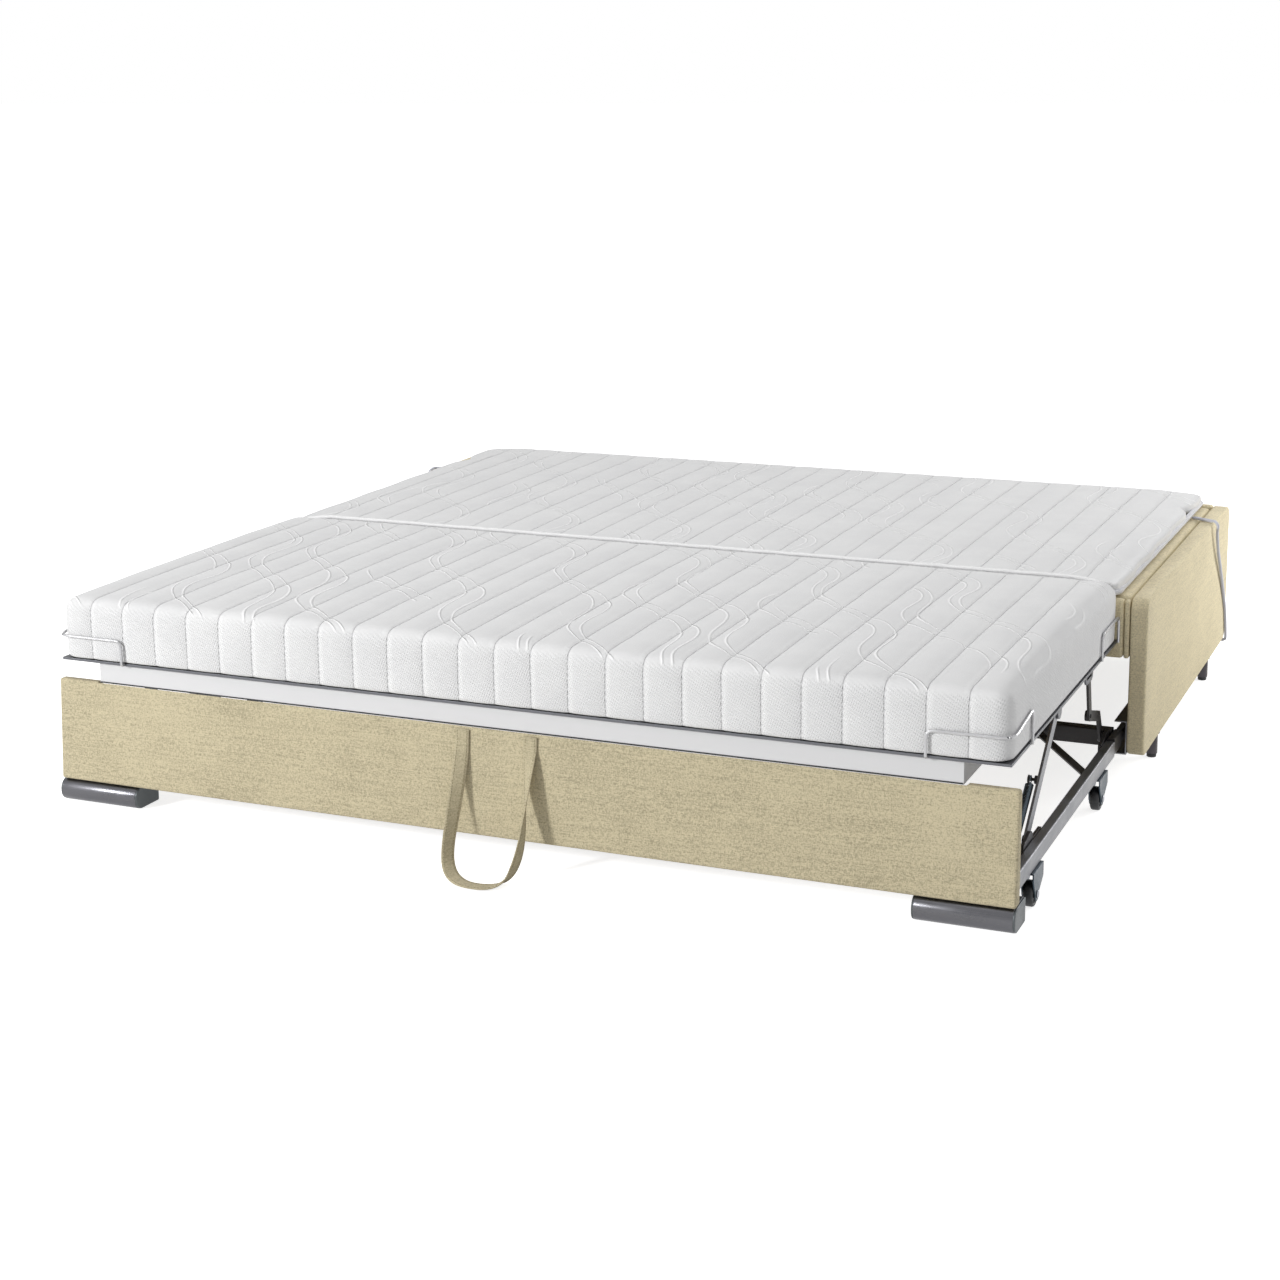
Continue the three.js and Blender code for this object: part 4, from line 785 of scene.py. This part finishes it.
def board(name, node, radius, spacing, wobble, seed, lean=0.0, silhouette=None, seams=(), cut=None):
    """An upholstered board: the box of its node with soft edges, sunk seams and a slightly uneven face."""
    low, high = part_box(node)
    xs = steps(low.x, high.x, spacing, radius)
    places = [(seam, 0.014, (0, 0.0025, 0.006, 0.012)) for seam in seams]
    if cut:
        places += [(side * cut[0], 0.008, (0, 0.003, 0.006)) for side in (-1, 1)]
    for at, reach, offsets in places:
        xs = sorted({v for v in xs if abs(v - at) > reach} | {at + side * e for e in offsets for side in (-1, 1)})
    ys, zs = (steps(low[axis], high[axis], spacing, silhouette or radius) for axis in (1, 2))
    points, faces = shell(xs, ys, zs)
    middle, half = middle_half(low, high)
    if silhouette:
        depth = half[0] - np.abs(points[:, 0] - middle[0])
        inset = np.where(depth < radius, radius - np.sqrt(np.maximum(radius ** 2 - (radius - depth) ** 2, 0)), 0)
        points = rounded(points, low, high, silhouette, axes=(1, 2))
        for axis in (1, 2):
            points[:, axis] -= (points[:, axis] - middle[axis]) * inset / half[axis]
    else:
        points = rounded(points, low, high, radius)
    x, y, z = points.T
    if lean:
        y += (high.y - y) * lean / (high.y - low.y) * (z - low.z) / (high.z - low.z)
    thin = int(np.argmin(half))
    points[:, thin] += np.sign(points[:, thin] - middle[thin]) * (ripple(points, 0.22, seed) - 1) * wobble
    for seam in seams:
        depth = SEAM_DEPTH * np.exp(-((x - seam) / SEAM_SPREAD) ** 2)
        for axis in (1, 2):
            points[:, axis] -= (points[:, axis] - middle[axis]) / half[axis] * depth
    if cut:
        reach, front, back, fall = cut
        lowered = np.minimum(z, high.z - fall * np.clip((y - front) / (back - front), 0, None))
        z += (lowered - z) * np.clip((reach - np.abs(x)) / 0.003, 0, 1)
    # Boards other than the front panel take the beige painted lighter, as painted light
    obj = make_mesh(name, points, faces, beige if lean else beige_seat_painted_light)
    subdivide(obj)
    return obj


def block(name, low, high, radius, material, spacing=0.02):
    """A small rounded block between two corners."""
    points, faces = shell(*(steps(a, b, spacing, radius) for a, b in zip(low, high)))
    return make_mesh(name, rounded(points, low, high, radius), faces, material)


boards = [
    ("seat_cushion_cover", "seat_cushion", 0.014, 0.04, 0.0010, dict(seams=SEAT_SEAMS)),
    ("seat_base_cover", "seat_base", 0.006, 0.05, 0.0006, {}),
    ("seat_border_cover", "seat_front_border", 0.009, 0.03, 0.0008, dict(seams=SEAT_SEAMS)),
    ("back_board_cover", "back_board", 0.008, 0.04, 0.0008, dict(seams=SEAT_SEAMS)),
    ("side_panel_cover_right", "side_panel_right", 0.005, 0.03, 0.0006, dict(silhouette=0.024)),
    ("side_panel_cover_left", "side_panel_left", 0.005, 0.03, 0.0006, dict(silhouette=0.024)),
    ("front_panel_cover", "front_panel", 0.006, 0.03, 0.0007, dict(lean=PANEL_LEAN, cut=PANEL_CUT)),
]
for seed, (name, node, radius, spacing, wobble, shape) in enumerate(boards, 11):
    body = "carriage" if node == "front_panel" else "seat_unit"
    piece = place(board(name, node, radius, spacing, wobble, seed, **shape), body, "woven_fabric", node)
    node in ("seat_cushion", "seat_front_border")

for side, side_name in SIDES:
    inner, outer = sorted((side * 0.9968, side * 1.0076))
    strip = block(f"border_strip_{side_name}", (inner, 0.0005, 0.2655), (outer, 0.0225, 0.3885), 0.004, beige_seat_painted_light)
    subdivide(strip)
    place(strip, "seat_unit", "woven_fabric")
# A thin black strip along the apron's foot: painted shade, a dark line for the shadow gap above the front panel
shade_line_strip = block("apron_painted_shade_strip", (-0.899, -0.8962, 0.2573), (0.899, -0.8950, 0.2603), 0.0005, shade_line_black, 0.1)
place(shade_line_strip, "platform", "wheel_plastic")


# Flat straps
def strap_mesh(name, points, looks, width, thickness, material):
    """A flat strap with rounded edges along points, with its face turned as given."""
    w, t = width / 2, thickness / 2
    half = [(-w, -t * 0.4), (-w * 0.96, -t), (-w * 0.5, -t), (0, -t), (w * 0.5, -t), (w * 0.96, -t), (w, -t * 0.4)]
    profile = half + [(-a, -b) for a, b in half]
    sections = []
    for p, look, tangent in zip(points, looks, tangents(points)):
        out = squared(look, tangent)
        side = tangent.cross(out)
        sections.append([tuple(p + side * a + out * b) for a, b in profile])
    return sweep(name, sections, material)


def stitches(name, points, looks, material):
    """Short threads in two rows on both faces of the strap, each a small capsule."""
    arc = [0.0]
    for a, b in zip(points, points[1:]):
        arc.append(arc[-1] + (b - a).length)
    thread_points, thread_faces = [], []
    start = STITCH_GAP
    while start + STITCH_LENGTH < arc[-1]:
        along = start + STITCH_LENGTH / 2
        i = max(0, min(len(points) - 2, int(np.searchsorted(arc, along)) - 1))
        t = (along - arc[i]) / max(arc[i + 1] - arc[i], TINY)
        tangent = (points[i + 1] - points[i]).normalized()
        out = squared(looks[i].lerp(looks[i + 1], t), tangent)
        side = tangent.cross(out)
        for row in (-STITCH_ROW, STITCH_ROW):
            for face in (-STRAP_THICKNESS / 2, STRAP_THICKNESS / 2):
                centre = points[i].lerp(points[i + 1], t) + side * row + out * face
                sections = [circle(centre + tangent * along, side, out, r, 5) for along, r in STITCH]
                thread_faces += skin(sections, first=len(thread_points))
                thread_points += [p for section in sections for p in section]
        start += STITCH_LENGTH + STITCH_GAP
    return make_mesh(name, thread_points, thread_faces, material)


# Pull loop
STRAP_WIDTH = 0.028
STRAP_THICKNESS = 0.0024
STRAP_SPREAD = 0.142
STRAP_TOP = 0.252
STRAP_HEM = 0.026
STRAP_STAND = 0.0006
LOOP_REACH = 0.150
LOOP_FLOOR_GAP = 0.004
LOOP_ROUND = 2.6
LOOP_BOW = 0.017
LOOP_SWAY = 0.025
LOOP_CURL = 0.55
STITCH_ROW = STRAP_WIDTH / 2 - 0.0042
STITCH_LENGTH = 0.0034
STITCH_GAP = 0.0022
STITCH = [(STITCH_LENGTH * along, 0.00055 * r) for along, r in ((-0.5, 0.35), (-0.25, 1), (0.25, 1), (0.5, 0.35))]


def loop_stations(count=56):
    """Points of the loop from its left hem down and up to its right hem, each with the way that its face looks."""
    half = STRAP_SPREAD / 2
    start_z = STRAP_TOP - STRAP_HEM
    fall = start_z - LOOP_FLOOR_GAP - STRAP_THICKNESS / 2

    def front_at(z):
        return FRONT_PLANE - PANEL_LEAN * (PANEL_TOP - z) / PANEL_HEIGHT - STRAP_THICKNESS / 2 - STRAP_STAND

    def at(side, depth):
        spread = half * max(1 - depth ** LOOP_ROUND, 0.0) ** (1 / LOOP_ROUND)
        bow = LOOP_BOW * sin(pi * depth) * depth
        reach = LOOP_REACH * (0.75 * depth + 0.25 * depth ** 3)
        x = side * (spread + bow) + LOOP_SWAY * depth ** 3
        extra = LOOP_CURL * sin(pi * depth) if side > 0 else 0.0
        place_at = Vector((x, front_at(start_z) - reach, start_z - fall * depth * (2 - depth)))
        return place_at, depth ** 0.6 * pi / 2 + extra

    def hem(side):
        heights = [STRAP_TOP - STRAP_HEM * share for share in (0.0, 0.35, 0.7)]
        return [(Vector((side * half, front_at(z), z)), 0.0) for z in heights]

    left, right = ([at(side, sin(i / count * pi / 2)) for i in range(count)] for side in (-1, 1))
    stations = hem(-1) + left + [at(1, 1.0)] + right[::-1] + hem(1)[::-1]
    points = [p for p, _ in stations]
    looks = []
    for (_, twist), tangent in zip(stations, tangents(points)):
        front = squared(Vector((0, -1, 0)), tangent)
        looks.append(front * cos(twist) + front.cross(tangent) * sin(twist))
    return points, looks


points, looks = loop_stations()
loop = strap_mesh("pull_loop_strap", points, looks, STRAP_WIDTH, STRAP_THICKNESS, beige_strap_painted_shade)
place(loop, "carriage", "woven_fabric", "pull_loop")
place(stitches("pull_loop_stitches", points, looks, thread_beige), "carriage", "woven_fabric")


# Tapes that hold the topper. Turns are degrees, step along and slack; shares are along, height and slack.
BAND_WIDTH = 0.010
BAND_THICKNESS = 0.0052
BAND_LIFT = BAND_THICKNESS / 2 + 0.0004
BAND_START = 0.200
BAND_EDGE = 0.260
BAND_SLACK = 0.0006
BAND_HOOK = 0.030
LEFT_LOOSENESS = 0.1
PANEL_BEVEL = 0.005
TOP_TURNS = ((90, 0.020, 0.002), (67, 0.010, 0.005), (45, 0.004, 0.007), (22, 0.001, 0.008), (0, 0.0, 0.008))
FOOT_TURNS = (0, -30, -60, -90)
FACE_SHARES = (
    (0.012, 0.955, 0.007), (0.05, 0.915, 0.006), (0.11, 0.86, 0.005), (0.20, 0.78, 0.004), (0.33, 0.69, 0.003),
    (0.47, 0.59, 0.002), (0.62, 0.48, 0.001), (0.76, 0.37, 0.0), (0.88, 0.26, 0.0), (0.955, 0.15, 0.0))


def band_stations(side):
    """The tape's way from the topper's edge over the side panel and down its face to the rear foot."""
    low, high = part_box("side_panel_right")
    edge_y = high.y - BAND_EDGE
    end_y = high.y - BAND_WIDTH
    loose = 1.0 if side > 0 else LEFT_LOOSENESS
    reach = PANEL_BEVEL + BAND_LIFT + BAND_SLACK
    stops = [(t_high.x + BAND_WIDTH / 2 + 0.0003, high.y - BAND_START, high.z + BAND_LIFT, 90)]

    def turn(y, z, degrees, slack=0.0):
        angle = radians(degrees)
        out = reach + slack * loose
        stops.append((high.x - PANEL_BEVEL + out * cos(angle), y, z + out * sin(angle), degrees))

    for degrees, step, slack in TOP_TURNS:
        turn(edge_y + step, high.z - PANEL_BEVEL, degrees, slack)
    for along, height, slack in FACE_SHARES:
        y, z = edge_y + (end_y - edge_y) * along, low.z + (high.z - low.z) * height
        stops.append((high.x + BAND_LIFT + slack * loose, y, z, 0))
    for degrees in FOOT_TURNS:
        turn(end_y, low.z + PANEL_BEVEL, degrees)
    stops.append((high.x - BAND_HOOK, end_y, low.z - BAND_LIFT, -90))
    points = [Vector((side * x, y, z)) for x, y, z, _ in stops]
    looks = [Vector((side * cos(radians(d)), 0, sin(radians(d)))) for *_, d in stops]
    return smooth_route(points, looks)


def smooth_route(points, looks, each=4, short=0.004):
    """The same route with more points, on a smooth curve through the given ones where they aren't close together."""
    fine, fine_looks = [], []
    last = len(points) - 1
    for i in range(last):
        before, start, end, after = (points[min(max(k, 0), last)] for k in range(i - 1, i + 3))
        straight = min((end - start).length, (start - before).length, (after - end).length) < short
        m1, m2 = (end - before) / 2, (after - start) / 2
        for k in range(each):
            t = k / each
            curve = start * (2 * t ** 3 - 3 * t ** 2 + 1) + m1 * (t ** 3 - 2 * t ** 2 + t)
            curve += end * (3 * t ** 2 - 2 * t ** 3) + m2 * (t ** 3 - t ** 2)
            fine.append(start.lerp(end, t) if straight else curve)
            fine_looks.append(looks[i].lerp(looks[i + 1], t).normalized())
    return fine + [points[last]], fine_looks + [looks[last]]


for side, side_name in SIDES:
    points, looks = band_stations(side)
    tape = strap_mesh(f"topper_tape_{side_name}", points, looks, BAND_WIDTH, BAND_THICKNESS, elastic)
    place(tape, "seat_unit", "elastic_tape", f"topper_band_{side_name}")


# Lift springs
SPRING_WIRE = 0.0024
SPRING_EYE = 0.0082
SPRING_RADIUS = 0.0084


def spring_route(node, each=10):
    """The wire's way: an eye on each pin, joined by close turns."""
    low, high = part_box(node)
    x = (low.x + high.x) / 2
    eye = SPRING_EYE - SPRING_WIRE / 2
    near = Vector((x, low.y + SPRING_EYE, low.z + SPRING_EYE))
    far = Vector((x, high.y - SPRING_EYE, high.z - SPRING_EYE))
    axis = (far - near).normalized()
    across = Vector((0, -axis.z, axis.y))
    sideways = Vector((1, 0, 0))
    start = near + axis * (eye + SPRING_WIRE * 1.2)
    length = (far - near).length - 2 * (eye + SPRING_WIRE * 1.2)
    count = int(length / (SPRING_WIRE * 1.18)) * each

    def round_eye(centre, way, degrees):
        angles = [radians(d) for d in degrees]
        return [centre + (axis * cos(t) + across * sin(t)) * (eye * way) for t in angles]

    route = round_eye(near, 1, range(330, 0, -24))
    for i in range(count + 1):
        t = 2 * pi * i / each
        radius = (SPRING_RADIUS - SPRING_WIRE / 2) * min(1, i / each, (count - i) / each)
        p = start + axis * (length * i / count)
        route.append(p + sideways * (radius * cos(t)) + across * (radius * sin(t)))
    return route + round_eye(far, -1, range(20, 340, 24))


for _, side_name in SIDES:
    route = spring_route(f"lift_spring_{side_name}")
    spring = tube(f"coil_spring_{side_name}", route, SPRING_WIRE / 2, spring_steel, sides=7)
    place(spring, "lift_springs", "spring_steel", f"lift_spring_{side_name}")


# Casters
PLACES = ("front_right", "front_left", "rear_right", "rear_left")
TYRE = ((0.60, 0.72), (0.88, 0.80), (0.92, 0.88), (0.80, 0.96), (0.5, 1.0))   # shares of its half width and its radius
HUB = ((1.0, 0.0046), (1.0, 0.0082), (0.90, 0.0092), (0.66, 0.0098), (0.52, 0.0125))   # shares of it, and radii
HUB_RIM = ((0.56, 0.70), (0.50, 0.74))
AXLE_HEAD = ((0.45, 1.0), (0.8, 0.82), (1.0, 0.45))   # shares of its height and its radius
HEAD_RADIUS = 0.0072
HEAD_HEIGHT = 0.0022


def caster_wheel(node):
    """A tyre and its hub, alike on both sides."""
    low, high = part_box(node)
    centre = (low + high) / 2
    half, radius = (high.x - low.x) / 2, (high.z - low.z) / 2
    tyre = [(half * a, radius * b) for a, b in TYRE]
    hub = [(half * a, b) for a, b in HUB] + [(half * a, radius * b) for a, b in HUB_RIM]
    pieces = (("tyre", tyre, wheel_plastic), ("hub", hub, hub_plastic))
    return [turned(name, centre, 0, [(-a, b) for a, b in side] + side[::-1], material, closed=True)
            for name, side, material in pieces]


def axle_head(centre, side):
    """A low round head standing out from the fork's face."""
    profile = [(-0.0004, 0.0003), (-0.0004, HEAD_RADIUS)] + [(HEAD_HEIGHT * a, HEAD_RADIUS * b) for a, b in AXLE_HEAD]
    profile.append((HEAD_HEIGHT, 0.0003))
    return turned("head", centre, 0, [(along * side, radius) for along, radius in profile], bolt_steel, segments=32)


for place_name in PLACES:
    node = f"caster_wheel_{place_name}"
    wheel = join_objects(f"wheel_{place_name}_tyre_and_hub", caster_wheel(node))
    place(wheel, f"wheel_{place_name}", "wheel_plastic", node)
    low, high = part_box(node)
    centre = (low + high) / 2
    fork_low, fork_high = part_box(f"caster_fork_{place_name}")
    heads = [axle_head(Vector((x, centre.y, centre.z)), side) for side, x in ((-1, fork_low.x), (1, fork_high.x))]
    place(join_objects(f"axle_heads_{place_name}", heads), "carriage", "fork_steel")


# Feet under the front panel
FOOT_NOSE = 0.0215
FOOT_EDGE = 0.004
FOOT_CAP = 0.004


def foot_section(low, high, x, inset):
    """The outline of a foot bar at x: a round nose in front and small edges behind."""
    nose, edge = FOOT_NOSE - inset, FOOT_EDGE - inset
    front, rear = low.y + FOOT_NOSE, high.y - FOOT_EDGE
    corners = ((rear, low.z + FOOT_EDGE, edge, -90), (rear, high.z - FOOT_EDGE, edge, 0),
               (front, high.z - FOOT_NOSE, nose, 90), (front, low.z + FOOT_NOSE, nose, 180))
    return [(x, y, z) for y, z in quarter_turns(corners, 10)]


def foot_bar(side_name):
    """A bar with a cap at each end. Stations are from the foot's end, with how far the outline is drawn in."""
    low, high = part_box(f"foot_{side_name}")
    bar = [(FOOT_CAP, 0.0012), (FOOT_CAP, 0.0002), (FOOT_CAP + 0.0006, 0)]
    cap = [(0, 0.0030), (0.0004, 0.0012), (0.0012, 0.0006), (FOOT_CAP + 0.0002, 0.0006)]
    runs = [
        (aluminium, [(low.x + x, inset) for x, inset in bar] + [(high.x - x, inset) for x, inset in reversed(bar)]),
        (cap_metal, [(low.x + x, inset) for x, inset in cap]),
        (cap_metal, [(high.x - x, inset) for x, inset in reversed(cap)]),
    ]
    parts = []
    for material, stations in runs:
        part = sweep("foot_run", [foot_section(low, high, x, inset) for x, inset in stations], material)
        for poly in part.data.polygons:
            poly.use_smooth = abs(poly.normal.x) < 0.5
        parts.append(part)
    return join_objects(f"foot_bar_{side_name}", parts)


for _, side_name in SIDES:
    place(foot_bar(side_name), "carriage", "brushed_aluminium", f"foot_{side_name}")


# Legs of the seat unit: a pad and a shaft, as heights and radii
LEG_PAD = [(0.0, 0.0004), (0.0, 0.0094), (0.0008, 0.0104), (0.0075, 0.0105), (0.0080, 0.0100), (0.0080, 0.0004)]
LEG_SHAFT = [(0.0081, 0.0004), (0.0081, 0.0119), (0.0088, 0.0125)]
LEG_COLLAR = [(0.0026, 0.0125), (0.0024, 0.0160), (0.0004, 0.0162), (0.0, 0.0158), (0.0, 0.0004)]   # down from the top

for place_name in PLACES:
    node = f"leg_{place_name}"
    low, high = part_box(node)
    centre = Vector(((low.x + high.x) / 2, (low.y + high.y) / 2, low.z))
    shaft = LEG_SHAFT + [(high.z - low.z - down, radius) for down, radius in LEG_COLLAR]
    parts = [turned("pad", centre, 2, LEG_PAD, wheel_plastic), turned("shaft", centre, 2, shaft, leg_steel)]
    place(join_objects(f"seat_leg_{place_name}", parts), "seat_unit", "black_steel", node)


# Finishes of the carried-over nodes, by the start of their names
finishes = (
    (grey_steel, ("side_rail", "guide_channel", "front_arm")),
    (black_steel, ("front_crossbar", "rear_crossbar", "corner_brace", "arm_bracket", "lever_bracket", "runner",
                   "spring_peg", "rear_lever", "rear_strut")),
    (frame_steel, ("frame_",)), (wire_steel, ("wire_retainer",)), (fork_steel, ("caster_fork",)),
    (wood, ("slat_deck",)), (apron_board, ("apron",)),
)
for name, obj in nodes.items():
    for material, starts in finishes:
        if name.startswith(starts):
            obj.data.materials.clear()
            obj.data.materials.append(material)


# Floor, light and camera
def by_ray(nodes, unseen, seen):
    """One value for rays from the camera and for mirrored or refracted ones, another for the rest."""
    rays = nodes.new("ShaderNodeLightPath").outputs
    camera, glossy, through = (Value(rays[f"Is {kind} Ray"]) for kind in ("Camera", "Glossy", "Transmission"))
    return camera.most(glossy).most(through).between(0.0, 1.0, unseen, seen)


def stage_plane():
    s = Shader("floor_white", roughness=1.0, colour=FLOOR_COLOUR)
    s.feed("Specular IOR Level", 0.0)
    s.feed("Emission Color", WHITE)
    s.feed("Emission Strength", by_ray(s.nodes, 0.0, FLOOR_GLOW))
    corners = [(x * FLOOR_HALF, y * FLOOR_HALF, 0) for x, y in ((-1, -1), (1, -1), (1, 1), (-1, 1))]
    make_mesh("floor", corners, [(0, 1, 2, 3)], s.material)


def area_light(name, place_at, target, size, power):
    data = bpy.data.lights.new(name, "AREA")
    data.shape = "RECTANGLE"
    data.size, data.size_y = size
    data.energy = power
    light = linked(name, data)
    light.location = place_at
    light.rotation_euler = (Vector(target) - Vector(place_at)).to_track_quat("-Z", "Y").to_euler()


def set_world():
    world = bpy.data.worlds.new("studio")
    world.use_nodes = True
    tree_nodes = world.node_tree.nodes
    inputs = tree_nodes["Background"].inputs
    connect(inputs["Color"], WHITE)
    connect(inputs["Strength"], by_ray(tree_nodes, WORLD_STRENGTH, 1.0))
    scene.world = world


def set_camera():
    data = bpy.data.cameras.new("camera")
    data.sensor_width = SENSOR
    data.lens = FOCAL_PIXELS / FRAME_PIXELS * SENSOR
    data.shift_y = CAMERA_SHIFT
    data.clip_end = 200
    camera = linked("camera", data)
    level = cos(CAMERA_PITCH)
    ahead = Vector((-sin(CAMERA_YAW) * level, cos(CAMERA_YAW) * level, -sin(CAMERA_PITCH)))
    right = Vector((cos(CAMERA_YAW), sin(CAMERA_YAW), 0))
    up = right.cross(ahead)
    rolled_right = right * cos(CAMERA_ROLL) + up * sin(CAMERA_ROLL)
    rolled_up = up * cos(CAMERA_ROLL) - right * sin(CAMERA_ROLL)
    matrix = Matrix((rolled_right, rolled_up, -ahead)).transposed().to_4x4()
    matrix.translation = Vector(CAMERA_PLACE)
    camera.matrix_world = matrix
    scene.camera = camera


stage_plane()
set_world()
area_light("key", (-4.1, -6.3, 2.8), (0, -0.6, 0.3), (0.9, 0.9), 352)
area_light("overhead", (-0.6, 0.2, 5.0), (-0.2, 0, 0.3), (5, 5), 69)
area_light("fill", (4.5, -2.6, 1.8), (0.6, 0, 0.3), (3, 2), 8)
area_light("side", (2.5, 1.9, 1.0), (1.0, 0.6, 0.22), (1.1, 0.9), 24)
set_camera()
scene.view_settings.view_transform = "Standard"
scene.view_settings.look = "None"
